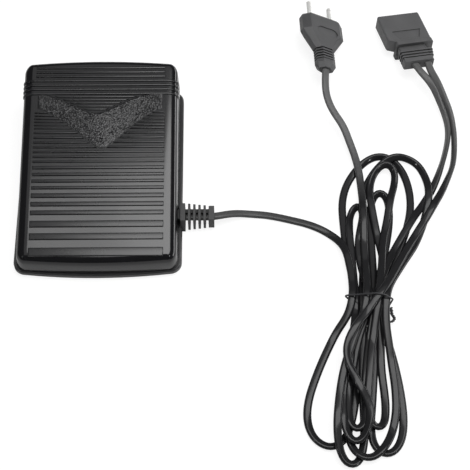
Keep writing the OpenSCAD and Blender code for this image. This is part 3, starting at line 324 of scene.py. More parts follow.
def lean_pair(cord):
    """Turns a cord on edge where it runs to the connector beside the other one."""
    x, y = cord["xyz"][:, 0], cord["xyz"][:, 1]
    beside = (x > PAIR_X) & (y > PAIR_Y[0]) & (y < PAIR_Y[1])
    share = blur(beside.astype(float), ROLL_BLUR)
    cord["roll"] = PAIR_LEAN * share + cord["roll"] * (1 - share)


def sheen_and_matt_ends(cord, ends_share):
    """Marks how matt and how pale with painted sheen the jacket is: most at the ends, and not at all some way
    along.
    """
    run = np.arange(len(cord["xyz"])) * CORD_STEP
    near, far = SHEEN_AND_MATT_FADE
    fades = [np.clip((far - r) / (far - near), 0, 1) for r in (run, run[::-1])]
    cord["sheen_and_matt"] = np.maximum(ends_share[0] * fades[0], ends_share[1] * fades[1])


def half_sizes(roll):
    """Half width seen from above and half height of the turned cord."""
    w, t = CORD_W / 2, CORD_T / 2
    c, s = np.cos(roll), np.sin(roll)
    return np.hypot(w * c, t * s), np.hypot(t * c, w * s)


def settle(cords):
    """Lays the strands on the floor and on each other, each as low as those of a lower level allow."""
    xyz = np.vstack([c["xyz"] for c in cords])
    level = np.concatenate([c["level"] for c in cords])
    owner = np.concatenate([[i] * len(c["xyz"]) for i, c in enumerate(cords)])
    place = np.concatenate([np.arange(len(c["xyz"])) for c in cords])
    half_w, half_h = half_sizes(np.concatenate([c["roll"] for c in cords]))
    z = np.maximum(xyz[:, 2], half_h)
    tied = np.abs(xyz[:, 1] - WAIST_Y) < TIED_HALF
    z[tied] = np.maximum(z[tied], half_h[tied] + TIE_LIFT)
    gap = np.linalg.norm(xyz[:, None, :2] - xyz[None, :, :2], axis=2)
    near = gap < half_w[:, None] + half_w[None]
    run_on = np.abs(place[:, None] - place[None]) * CORD_STEP
    near &= (owner[:, None] != owner[None]) | (run_on > OWN_REACH)
    upper, lower = np.nonzero(near & (level[:, None] > level[None]))
    share = gap[upper, lower] / (half_w[upper] + half_w[lower])
    rise = (half_h[upper] + half_h[lower]) * np.sqrt(1 - share * share)
    ends = np.concatenate([[0], np.cumsum([len(c["xyz"]) for c in cords])])
    fall = FALL_SLOPE * CORD_STEP
    for _ in range(SETTLE_ROUNDS):
        before = z.copy()
        np.maximum.at(z, upper, z[lower] + rise)
        for a, b in zip(ends[:-1], ends[1:]):
            for i in range(a + 1, b):
                z[i] = max(z[i], z[i - 1] - fall)
            for i in range(b - 2, a - 1, -1):
                z[i] = max(z[i], z[i + 1] - fall)
        if np.allclose(z, before, atol=SETTLED):
            break
    for c, a, b in zip(cords, ends[:-1], ends[1:]):
        c["xyz"][:, 2] = blur(z[a:b], LIFT_BLUR)


def cord_profile(per_side=9):
    """The flat cord's outline: two flat faces between round sides."""
    r = CORD_T / 2
    off = CORD_W / 2 - r
    angles = np.linspace(-math.pi / 2, math.pi / 2, per_side)
    right = [(off + r * math.cos(a), r * math.sin(a)) for a in angles]
    return np.array(right + [(-x, -y) for x, y in right])


def cord_mesh(name, cord):
    """Sweeps the flat outline along a laid cord, and marks its points with their matt finish and painted
    sheen.
    """
    xyz, roll = cord["xyz"] * MM, cord["roll"]
    along = np.gradient(xyz, axis=0)
    along /= np.linalg.norm(along, axis=1)[:, None]
    flat = np.cross(along, (0, 0, 1))
    flat /= np.linalg.norm(flat, axis=1)[:, None]
    up = np.cross(flat, along)
    c, s = np.cos(roll)[:, None], np.sin(roll)[:, None]
    side, top = flat * c + up * s, up * c - flat * s
    profile = cord_profile() * MM
    rings = xyz[:, None] + side[:, None] * profile[None, :, :1] + top[:, None] * profile[None, :, 1:]
    n, k = rings.shape[:2]
    mesh = mesh_of(name, rings.reshape(-1, 3), loft_faces(n, k))
    sheen_and_matt = mesh.attributes.new("sheen_and_matt", "FLOAT", "POINT")
    sheen_and_matt.data.foreach_set("value", np.repeat(cord["sheen_and_matt"], k))
    return mesh


pedal_lay, mains_lay = lay_out(PEDAL_STRANDS), lay_out(MAINS_STRANDS)
hold_roll(pedal_lay, 0, -CONN_ROLL)
hold_roll(mains_lay, PLUG_ROLL, -CONN_ROLL)
lean_pair(pedal_lay)
lean_pair(mains_lay)
sheen_and_matt_ends(pedal_lay, PEDAL_SHEEN_AND_MATT)
sheen_and_matt_ends(mains_lay, MAINS_SHEEN_AND_MATT)
settle([pedal_lay, mains_lay])
pedal_lead = new_piece("pedal_lead", cord_mesh("pedal_lead", pedal_lay))
mains_lead = new_piece("mains_lead", cord_mesh("mains_lead", mains_lay))
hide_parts("pedal_cord", "connector_cord_inner", "cord_hank")
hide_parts("mains_cord", "connector_cord_outer")

# Tie: a thin covered wire drawn round the waist of the hank, its ends twisted into a small hook on the right
TIE_R = 0.65
TIE_Y = -107.5
TIE_TILT = math.tan(math.radians(-13))
# Strands within this reach of the tie are bound by it
TIE_REACH = 2.5
TIE_STEP = 1.5
# The two ends wind round the hook's line at this radius, and turn by this angle from one point to the next
TWIST_R, TWIST_STEP = 0.6, 0.55
# The hook's line: across and along from the right end of the loop, and height above the floor
TIE_HOOK = ((0, 0, 5.5), (0.3, -3, 5.6), (0.4, -5.5, 5.4), (1.6, -7.2, 5), (2, -8.8, 4.6), (0.8, -10.2, 4),
            (-0.6, -10.6, 3.4))


def half_hull(points):
    """One side of the convex outline of sorted points, without its last point."""
    kept = []
    for p in points:
        while len(kept) > 1 and ((kept[-1][0] - kept[-2][0]) * (p[1] - kept[-2][1])
                                 - (kept[-1][1] - kept[-2][1]) * (p[0] - kept[-2][0])) <= 0:
            kept.pop()
        kept.append(p)
    return kept[:-1]


def tie_loop(around=24):
    """Points, in x and z, of the tightest loop round the strands that the tie binds."""
    seen = []
    for lay in (pedal_lay, mains_lay):
        at = np.abs(lay["xyz"][:, 1] - TIE_Y) < TIE_REACH
        half_w, half_h = half_sizes(lay["roll"][at])
        for (x, _, z), w, h in zip(lay["xyz"][at], half_w, half_h):
            seen += [(x + (w + TIE_R) * math.cos(a), z + (h + TIE_R) * math.sin(a))
                     for a in np.linspace(0, 2 * math.pi, around, endpoint=False)]
    seen = sorted((x, max(z, TIE_R)) for x, z in seen)
    hull = half_hull(seen) + half_hull(seen[::-1])
    loop = []
    for (x0, z0), (x1, z1) in zip(hull, hull[1:] + hull[:1]):
        steps = max(1, int(math.hypot(x1 - x0, z1 - z0) / TIE_STEP))
        loop += [(x0 + (x1 - x0) * k / steps, z0 + (z1 - z0) * k / steps) for k in range(steps)]
    return loop


def tie_shells():
    """The wire's loop, and its two ends twisted into a hook."""
    shells = Shells()
    loop = tie_loop()
    path = [(x, TIE_Y + (x - WAIST_X) * TIE_TILT, z) for x, z in loop]
    shells.loft(tube_rings(path + path[:1], TIE_R)[:-1], closed=True)
    right = max(x for x, _ in loop)
    foot = TIE_Y + (right - WAIST_X) * TIE_TILT
    line = np.array([(right + dx, foot + dy, z) for dx, dy, z in TIE_HOOK])
    hook, _ = smooth_curve(line, pieces=7)
    for start in (0, math.pi):
        angles = [start + k * TWIST_STEP for k in range(len(hook))]
        twist = [(x + TWIST_R * math.cos(a), y, z + TWIST_R * math.sin(a))
                 for (x, y, z), a in zip(hook, angles)]
        shells.loft(tube_rings(twist, TIE_R))
    return shells


tie = new_piece("wire_tie", tie_shells().mesh("wire_tie", sharp=60))
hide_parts("hank_tie")

# Foot plate: a skirt, rounded shoulders, a flat tread with bars, four of them wrapped over the shoulders, and
# a grip band. It turns down round the hinge by TRAVEL.
HINGE_Y, HINGE_Z = -66, 15
SLOPE = math.radians(8.8)
TRAVEL = math.radians(6)
# Height of the tread over the hinge
RISE = 10.9
# Half sizes of the plate's foot, the round of its corners and how far its ends bow out
PLATE_W, PLATE_L = 60.6, 82.5
PLATE_R, PLATE_BOW = 8.5, 2.2
# Corners that are drawn in stay at least this round
LEAST_R = 0.4
# How far sides and ends lean in up to the shoulders, from DRAFT_FOOT above the floor
DRAFT, END_DRAFT, WALL = 2.1, 0.3, 2.4
DRAFT_FOOT = 3
SHOULDER_SIDE, SHOULDER_END, SHOULDER_H = 8.4, 5.6, 6.2
SKIRT_LOW = 7.8
# The skirt's lower edge: how far in and how far up, from the inner wall round to the outer one
SKIRT_EDGE = ((WALL, 0), (0.5, 0), (0.12, 0.12), (0, 0.5))
# The notch over the strain relief: its middle, half width, top and the step at its sides
NOTCH_Y, NOTCH_HALF, NOTCH_Z = -36, 5.2, 17.85
NOTCH_STEP = 0.02
# Other points along the plate's long sides
SIDE_POINTS = (-60, -50, -20, -10, 0, 10, 20, 50, 60)
# How far the flat tread goes on inside the shoulders before it is closed
TREAD_MARGIN = 0.6
LANDS, BARS, BAND = 0, 1, 2

# Bars: places are up the slope from above the hinge
TREAD_HALF = 49
HEEL_BAR = (-11.64, -4.65)
FIRST_BAR = 1.2
# From heel to toe: how many bars, how far apart, how wide
BAR_GROUPS = ((2, 9.8, 5.4), (3, 6.8, 3.8), (4, 5.4, 2.7), (7, 3.93, 1.8), (11, 2.6, 1.3), (7, 3.65, 2))
WRAPPED_BARS = range(28, 32)
BAR_H, BAR_SINK = 0.8, 0.15
# The round of a bar's edge: a share of its width, up to the most
BEVEL_SHARE, BEVEL_MOST = 0.3, 0.85
# How far a wrapped bar runs down past the shoulder, and how far it stands off there
WRAP_DOWN, WRAP_OFF = 2, 0.05
WRAP_STEPS = 10
# Shorter bars beside the band, or above it, are left out
LEAST_SIDE_BAR, LEAST_TOP_BAR = 3, 6

# Grip band: half width, height between its grains and the gap to the bars
BAND_HALF, BAND_H, BAND_GAP = 47, 0.3, 0.5
BAND_POINT_X = 2.4
# Its two edges: x of the point, place up the slope there and at the sides, how soft the point is, and how far
# the left and the right half bend
LOW_EDGE = dict(point=BAND_POINT_X, low=74.2, high=107.3, soft=0.1, bends=(1.4, 1.4))
TOP_EDGE = dict(point=-2.5, low=103.6, high=120.6, soft=0.2, bends=(1.4, 1.9))
# Its mesh: the step between points, and about how far it reaches up the slope
GRAIN_STEP, BAND_LENGTH = 0.36, 28
# Its grains and the waves over them: size, height, and the level at which the noise is cut
CELL_SIZE, CELL_H, CELL_CUT = 0.95, 0.36, 0.4
WAVE_SIZE, WAVE_H, WAVE_CUT = 0.6, 0.2, 3.1
CELL_STEEP = 2.5
# It rises to its full height over the border, from the least share of it
BORDER, BORDER_LEAST = 1.2, 0.15
BAND_SINK = 0.3

# Parts under the plate: they reach into its wall to this depth under the tread
UNDER_SEAT = 1.2
# Hinge lugs: place across, half width, outer and bore radius, broken edge, and how far over the pin their
# webs start
LUG_X, LUG_HALF, LUG_R, LUG_BORE_R, LUG_EDGE = 34.4, 3, 4.8, 2.08, 0.3
LUG_ROOT = 2.3
# Springs and the pads over them: place, size, broken edge and the slope of the pads' faces
SPRING_X, SPRING_Y = 38, 46
PAD_R, PAD_Z, PAD_H = 7.9, 38.1, 3.6
PAD_EDGE_R, PAD_EDGE_H = 0.5, 0.4
PAD_LEAN = math.tan(math.radians(5.8))
# The arm that moves the slider: a round nose across, under a web with two ribs
ARM_X0, ARM_X1, ARM_Y, ARM_Z, ARM_R, ARM_EDGE = 7, 13, 34, 24.8, 2.5, 0.4
RIB_W, RIB_HALF, RIB_Z = 2, 7.5, 28.8


def top_z(y):
    """Height of the sloping tread."""
    return HINGE_Z + RISE + math.tan(SLOPE) * (y - HINGE_Y)


def on_tread(x, v, h):
    """A point on the tread: x across, v up the slope from above the hinge, h off the surface."""
    return (x, HINGE_Y + v * math.cos(SLOPE) - h * math.sin(SLOPE),
            HINGE_Z + RISE + v * math.sin(SLOPE) + h * math.cos(SLOPE))


def plate_outline(inset_x, inset_y, corner=14, bow=24):
    """The plate from above, drawn in by the insets: straight sides, round corners, ends bowed outward."""
    rx, ry = max(PLATE_R - inset_x, LEAST_R), max(PLATE_R - inset_y, LEAST_R)
    reach, end = PLATE_W - inset_x - rx, PLATE_L - inset_y - ry
    lean = math.atan(2 * PLATE_BOW / reach)
    last = end - PLATE_BOW
    half = []
    for i in range(corner):
        a = (math.pi / 2 - lean) * i / corner
        half.append((reach + rx * math.cos(a), last + ry * math.sin(a)))
    for i in range(bow + 1):
        k = 1 - 2 * i / bow
        a = math.atan(2 * PLATE_BOW * k / reach)
        half.append((reach * k + rx * math.sin(a), end - PLATE_BOW * k * k + ry * math.cos(a)))
    half += [(-x, y) for x, y in half[corner - 1::-1]]
    cuts = [NOTCH_Y - NOTCH_HALF - NOTCH_STEP, NOTCH_Y - NOTCH_HALF,
            NOTCH_Y + NOTCH_HALF, NOTCH_Y + NOTCH_HALF + NOTCH_STEP]
    sides = sorted(cuts + [-cut for cut in cuts] + list(SIDE_POINTS))
    left = [(-PLATE_W + inset_x, y) for y in reversed(sides)]
    return half + left + [(-x, -y) for x, y in half + left]


def skirt_low(x, y):
    """Height of the skirt's edge: it clears the base when the plate is down, and the strain relief."""
    level = HINGE_Z + (SKIRT_LOW - HINGE_Z) / math.cos(TRAVEL) + (y - HINGE_Y) * math.tan(TRAVEL)
    low = max(SKIRT_LOW, level)
    in_notch = x > 0 and abs(y - NOTCH_Y) < NOTCH_HALF + NOTCH_STEP / 2
    return max(low, NOTCH_Z) if in_notch else low


def skirt_ring(inset, rise):
    """A ring near the foot of the skirt, which narrows upward by the draft."""
    foot = plate_outline(inset, inset)
    head = plate_outline(inset + DRAFT, inset + END_DRAFT)
    ring = []
    for (x0, y0), (x1, y1) in zip(foot, head):
        z = skirt_low(x0, y0) + rise
        share = (z - DRAFT_FOOT) / (top_z(y0) - SHOULDER_H - DRAFT_FOOT)
        ring.append((x0 + (x1 - x0) * share, y0 + (y1 - y0) * share, z))
    return ring


def plate_ring(inset_x, inset_y, fall):
    """The plate's outline at the given depth under the sloping tread."""
    return [(x, y, top_z(y) - fall) for x, y in plate_outline(inset_x, inset_y)]


def shoulder_rings(inset, side, end, drop, sink, steps=9):
    """Rings over the rounded shoulder, from its lower edge up to the flat tread."""
    rings = []
    for i in range(steps + 1):
        a = math.pi / 2 * i / steps
        inward = 1 - math.cos(a)
        fall = sink + drop * (1 - math.sin(a))
        rings.append(plate_ring(DRAFT + inset + side * inward, END_DRAFT + inset + end * inward, fall))
    return rings


def plate_skin(shells):
    """The hollow moulding: inner shoulders, skirt edge, outer shoulders and the flat of the tread."""
    inner = shoulder_rings(WALL, SHOULDER_SIDE - WALL, SHOULDER_END - WALL, SHOULDER_H - WALL, WALL)
    outer = shoulder_rings(0, SHOULDER_SIDE, SHOULDER_END, SHOULDER_H, 0)
    low = [skirt_ring(inset, rise) for inset, rise in SKIRT_EDGE]
    top = [plate_ring(DRAFT + SHOULDER_SIDE + TREAD_MARGIN, END_DRAFT + SHOULDER_END + TREAD_MARGIN, 0)]
    shells.loft(inner[::-1] + low + outer + top, LANDS)


def bar_profile(bevel):
    """How far the rounded edge of a bar is drawn in at each height."""
    steps = [(bevel * (1 - math.cos(a)), BAR_H * math.sin(a)) for a in np.radians([0, 30, 60, 90])]
    return [(0, -BAR_SINK)] + steps


def draw_in(corners, inset):
    """A convex four-sided outline drawn in by inset all round."""
    lines = []
    for (x0, y0), (x1, y1) in zip(corners, corners[1:] + corners[:1]):
        d = math.hypot(x1 - x0, y1 - y0)
        nx, ny = -(y1 - y0) / d, (x1 - x0) / d
        lines.append((nx, ny, nx * x0 + ny * y0 + inset))
    kept = []
    for (a0, b0, c0), (a1, b1, c1) in zip(lines[-1:] + lines[:-1], lines):
        det = a0 * b1 - a1 * b0
        kept.append(((c0 * b1 - c1 * b0) / det, (a0 * c1 - a1 * c0) / det))
    return kept


def flat_bar(shells, corners, bevel):
    """A bar on the flat tread between four corners."""
    rings = [[on_tread(x, v, h) for x, v in draw_in(corners, inset)] for inset, h in bar_profile(bevel)]
    shells.loft(rings, BARS)


def wrapped_bar(shells, v0, v1, bevel):
    """A bar that runs over both shoulders and a little way down the skirt."""
    path = [(PLATE_W - DRAFT + WRAP_OFF, -SHOULDER_H - WRAP_DOWN, 1, 0)]
    for i in range(WRAP_STEPS + 1):
        a = math.pi / 2 * i / WRAP_STEPS
        x = PLATE_W - DRAFT - SHOULDER_SIDE * (1 - math.cos(a))
        nx, nh = math.cos(a) / SHOULDER_SIDE, math.sin(a) / SHOULDER_H
        n = math.hypot(nx, nh)
        path.append((x, -SHOULDER_H * (1 - math.sin(a)), nx / n, nh / n))
    path += [(-x, h, -nx, nh) for x, h, nx, nh in reversed(path)]
    near = [(v0 + inset, off) for inset, off in bar_profile(bevel)]
    far = [(v1 - inset, off) for inset, off in reversed(bar_profile(bevel))]
    rings = [[on_tread(x + nx * off, v, h + nh * off) for v, off in near + far] for x, h, nx, nh in path]
    shells.loft(rings, BARS)


def band_edge(x, point, low, high, soft, bends):
    """Where a band edge is at x: it comes down from both sides, each with its bend, to a rounded point."""
    side, bend = (BAND_HALF - point, bends[1]) if x > point else (BAND_HALF + point, bends[0])
    share = min(1, abs(x - point) / side)
    share = (math.hypot(share, soft) - soft) / (math.hypot(1, soft) - soft)
    return low + (high - low) * (1 - (1 - share) ** bend)


def band_low(x):
    """Lower edge of the band."""
    return band_edge(x, **LOW_EDGE)


def band_top(x):
    """Upper edge of the band."""
    return band_edge(x, **TOP_EDGE)


def where(edge, v, side, samples=400):
    """The x, on the right (1) or left (-1), at which a band edge reaches the place v up the slope."""
    xs = np.linspace(BAND_POINT_X, side * BAND_HALF, samples)
    return float(np.interp(v, [edge(x) for x in xs], xs))


def bars_round_band(shells, v0, v1, bevel):
    """The parts of a bar that lie beside the band and above it."""
    if v1 < band_low(BAND_HALF):
        for side in (1, -1):
            near, far = [where(band_low, v + BAND_GAP, side) + side * BAND_GAP for v in (v0, v1)]
            if abs(far) < TREAD_HALF - LEAST_SIDE_BAR:
                corners = [(near, v0), (side * TREAD_HALF, v0), (side * TREAD_HALF, v1), (far, v1)]
                flat_bar(shells, corners[::side], bevel)
    if v0 > band_top(BAND_POINT_X) + BAND_GAP:
        right = [where(band_top, v - BAND_GAP, 1) - BAND_GAP for v in (v0, v1)]
        left = [where(band_top, v - BAND_GAP, -1) + BAND_GAP for v in (v0, v1)]
        if right[0] - left[0] > LEAST_TOP_BAR:
            flat_bar(shells, [(left[0], v0), (right[0], v0), (right[1], v1), (left[1], v1)], bevel)


def tread_bars(shells):
    """All bars, from the heel to the toe."""
    bars, v = [HEEL_BAR], FIRST_BAR
    for count, pitch, width in BAR_GROUPS:
        bars += [(v + k * pitch, v + k * pitch + width) for k in range(count)]
        v += count * pitch
    lowest, highest = band_low(BAND_POINT_X) - BAND_GAP, band_top(BAND_HALF) + BAND_GAP
    for i, (v0, v1) in enumerate(bars):
        bevel = min(BEVEL_MOST, BEVEL_SHARE * (v1 - v0))
        if i in WRAPPED_BARS:
            wrapped_bar(shells, v0, v1, bevel)
        elif v1 <= lowest or v0 >= highest:
            corners = [(-TREAD_HALF, v0), (TREAD_HALF, v0), (TREAD_HALF, v1), (-TREAD_HALF, v1)]
            flat_bar(shells, corners, bevel)
        else:
            bars_round_band(shells, v0, v1, bevel)


def band_height(x, v, border):
    """Height of the band's skin: leather-like grains, lower near the border."""
    dist, _ = noise.voronoi(Vector((x / CELL_SIZE, v / CELL_SIZE, CELL_CUT)))
    cell = min(1, (dist[1] - dist[0]) * CELL_STEEP)
    wave = noise.noise(Vector((x / WAVE_SIZE, v / WAVE_SIZE, WAVE_CUT)))
    return min(1, border / BORDER + BORDER_LEAST) * (BAND_H + CELL_H * cell + WAVE_H * wave)


def grip_band(shells):
    """The raised band between its two edges, as a grid of points with a flat underside."""
    across = int(2 * BAND_HALF / GRAIN_STEP)
    along = int(BAND_LENGTH / GRAIN_STEP)
    top, low = [], []
    for i in range(across + 1):
        x = BAND_HALF * (2 * i / across - 1)
        a, b = band_low(x), band_top(x)
        for j in range(along + 1):
            v = a + (b - a) * j / along
            border = min(v - a, b - v, BAND_HALF - abs(x))
            top.append(on_tread(x, v, band_height(x, v, border)))
            low.append(on_tread(x, v, -BAND_SINK))
    k = along + 1
    n = len(top)
    faces = []
    for i in range(across):
        for j in range(along):
            quad = (i * k + j, (i + 1) * k + j, (i + 1) * k + j + 1, i * k + j + 1)
            faces += [quad, tuple(n + q for q in reversed(quad))]
    rim = [i * k for i in range(across + 1)] + [across * k + j for j in range(1, k)]
    rim += [i * k + along for i in range(across - 1, -1, -1)] + list(range(along - 1, 0, -1))
    faces += [(n + a, n + b, b, a) for a, b in zip(rim, rim[1:] + rim[:1])]
    shells.add(top + low, faces, BAND)


def under_parts(shells, around=40):
    """Hinge lugs, spring pads and control arm under the plate."""
    turn = np.linspace(0, 2 * math.pi, around, endpoint=False)
    lug_face, lug_flat = LUG_HALF - LUG_EDGE, LUG_R - LUG_EDGE
    lug_profile = ((-LUG_HALF, LUG_BORE_R), (-LUG_HALF, lug_flat), (-lug_face, LUG_R),
                   (lug_face, LUG_R), (LUG_HALF, lug_flat), (LUG_HALF, LUG_BORE_R))
    for x in (-LUG_X, LUG_X):
        rings = [[(x + dx, HINGE_Y + r * math.cos(a), HINGE_Z + r * math.sin(a)) for a in turn]
                 for dx, r in lug_profile]
        shells.loft(rings, closed=True)
        shells.block((x - LUG_HALF, HINGE_Y - LUG_R, HINGE_Z + LUG_ROOT),
                     (x + LUG_HALF, HINGE_Y + LUG_R, top_z(HINGE_Y - LUG_R) - UNDER_SEAT))
    pad_profile = ((PAD_R - PAD_EDGE_R, PAD_Z), (PAD_R, PAD_Z + PAD_EDGE_H), (PAD_R, PAD_Z + PAD_H))
    for x in (-SPRING_X, SPRING_X):
        shells.loft([[(x + r * math.cos(a), SPRING_Y + r * math.sin(a), z + PAD_LEAN * r * math.sin(a))
                      for a in turn] for r, z in pad_profile])
    arm_profile = ((ARM_X0, ARM_R - ARM_EDGE), (ARM_X0 + ARM_EDGE, ARM_R),
                   (ARM_X1 - ARM_EDGE, ARM_R), (ARM_X1, ARM_R - ARM_EDGE))
    shells.loft([[(x, ARM_Y + r * math.cos(a), ARM_Z + r * math.sin(a)) for a in turn]
                 for x, r in arm_profile])
    shells.block((ARM_X0, ARM_Y - ARM_R, ARM_Z), (ARM_X1, ARM_Y + ARM_R, top_z(ARM_Y - ARM_R) - UNDER_SEAT))
    for x in (ARM_X0, ARM_X1 - RIB_W):
        shells.block((x, ARM_Y - RIB_HALF, RIB_Z),
                     (x + RIB_W, ARM_Y + RIB_HALF, top_z(ARM_Y - RIB_HALF) - UNDER_SEAT))


plate_shells = Shells()
plate_skin(plate_shells)
tread_bars(plate_shells)
grip_band(plate_shells)
under_parts(plate_shells)
foot_plate = new_piece("foot_plate_skin", plate_shells.mesh("foot_plate_skin"), "pedal")
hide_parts("foot_plate")

# Return springs: radius of wire and coil, and turns in all and closed turns at each end
SPRING_WIRE, SPRING_R = 0.7, 5.7
SPRING_TURNS, SPRING_CLOSED = 7, 0.8
STEPS_PER_TURN = 28


def spring_shells():
    """Two coils between the lowest and highest point of the CAD springs."""
    low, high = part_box("return_springs")
    z0, z1 = low.z / MM + SPRING_WIRE, high.z / MM - SPRING_WIRE
    shells = Shells()
    for x in (-SPRING_X, SPRING_X):
        path = []
        for i in range(SPRING_TURNS * STEPS_PER_TURN + 1):
            turn = i / STEPS_PER_TURN
            share = min(1, max(0, (turn - SPRING_CLOSED) / (SPRING_TURNS - 2 * SPRING_CLOSED)))
            a = 2 * math.pi * turn
            z = z0 + (z1 - z0) * share
            path.append((x + SPRING_R * math.cos(a), SPRING_Y + SPRING_R * math.sin(a), z))
        shells.loft(tube_rings(path, SPRING_WIRE, sides=8))
    return shells


springs = new_piece("spring_coils", spring_shells().mesh("spring_coils", sharp=60))
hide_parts("return_springs")
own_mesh(springs)

# Materials: noise of this many waves a metre mottles every one of them
MOTTLE_SCALE = 70
LEAST_ROUGH = 0.02
# How strongly the painted shade darkens creases
CREASE_SHADE_POWER = 1.6


def add_node(tree, kind, inputs=None, **settings):
    """A new node with its settings. Each input takes a value, or a link from another node's output."""
    node = tree.nodes.new(kind)
    for key, value in settings.items():
        setattr(node, key, value)
    set_inputs(tree, node, inputs or {})
    return node


def set_inputs(tree, node, inputs):
    """Sets a node's inputs, by name or number, to values or to the outputs of other nodes."""
    for key, value in inputs.items():
        if isinstance(value, bpy.types.NodeSocket):
            tree.links.new(value, node.inputs[key])
        else:
            node.inputs[key].default_value = value


def add_mix(tree, kind, share, a, b, **settings):
    """The output of a mix of a and b, which are values or outputs of other nodes."""
    mix = add_node(tree, "ShaderNodeMix", {"Factor": share, "A": a, "B": b}, data_type=kind, **settings)
    return mix.outputs["Result"]


def opaque(color, factor=1.0):
    """A colour with alpha, made darker or paler by a factor."""
    return (*[min(1, c * factor) for c in color], 1)


def grained(name, color, rough, metallic=0.0, grain=1.0, bump=0.15, depth=0.05, mottle=0.2, spread=0.08,
            stretch=(1, 1, 1), crease_shade_reach=0.0, sheen_and_matt=None, shine=0.5):
    """A moulded, drawn or pressed surface: grain and depth are its fine relief, in millimetres.

    Mottle and spread say how far colour and roughness vary. Creases get painted shade in the colour, by
    ambient occlusion, where other faces lie within the given number of millimetres. For the parts that are
    marked, a grey paints a sheen into the colour and a roughness makes them matt.
    """
    material = bpy.data.materials.new(name)
    material.use_nodes = True
    tree = material.node_tree
    place = add_node(tree, "ShaderNodeTexCoord").outputs["Object"]
    mapped = add_node(tree, "ShaderNodeMapping", {"Vector": place, "Scale": stretch}).outputs["Vector"]
    fine = add_node(tree, "ShaderNodeTexNoise", {"Vector": mapped, "Scale": 1 / (grain * MM), "Detail": 3})
    slow = add_node(tree, "ShaderNodeTexNoise", {"Vector": mapped, "Scale": MOTTLE_SCALE, "Detail": 4})
    patch = slow.outputs["Fac"]
    painted = add_mix(tree, "RGBA", patch, opaque(color, 1 - mottle), opaque(color, 1 + mottle))
    limits = {"Value": patch, "To Min": max(LEAST_ROUGH, rough - spread), "To Max": min(1, rough + spread)}
    dull = add_node(tree, "ShaderNodeMapRange", limits).outputs["Result"]
    # Painted sheen: marked parts are painted a paler grey, as light would make them look, and made matt.
    if sheen_and_matt:
        grey, matt_rough = sheen_and_matt
        mark = add_node(tree, "ShaderNodeAttribute", attribute_name="sheen_and_matt").outputs["Fac"]
        painted = add_mix(tree, "RGBA", mark, painted, (grey, grey, grey, 1))
        dull = add_mix(tree, "FLOAT", mark, dull, matt_rough)
    # Painted shade: ambient occlusion darkens the colour in creases, between ribs and in recesses.
    if crease_shade_reach:
        shade = add_node(tree, "ShaderNodeAmbientOcclusion", {"Distance": crease_shade_reach * MM}, samples=8)
        painted_crease_shade = add_node(tree, "ShaderNodeMath", {0: shade.outputs["AO"], 1: CREASE_SHADE_POWER}, operation="POWER")
        painted = add_mix(tree, "RGBA", 1, painted, painted_crease_shade.outputs["Value"], blend_type="MULTIPLY")
    relief = add_node(tree, "ShaderNodeBump",
                      {"Strength": bump, "Distance": depth * MM, "Height": fine.outputs["Fac"]})
    set_inputs(tree, tree.nodes["Principled BSDF"],
               {"Base Color": painted, "Roughness": dull, "Normal": relief.outputs["Normal"],
                "Metallic": metallic, "Specular IOR Level": shine})
    return material


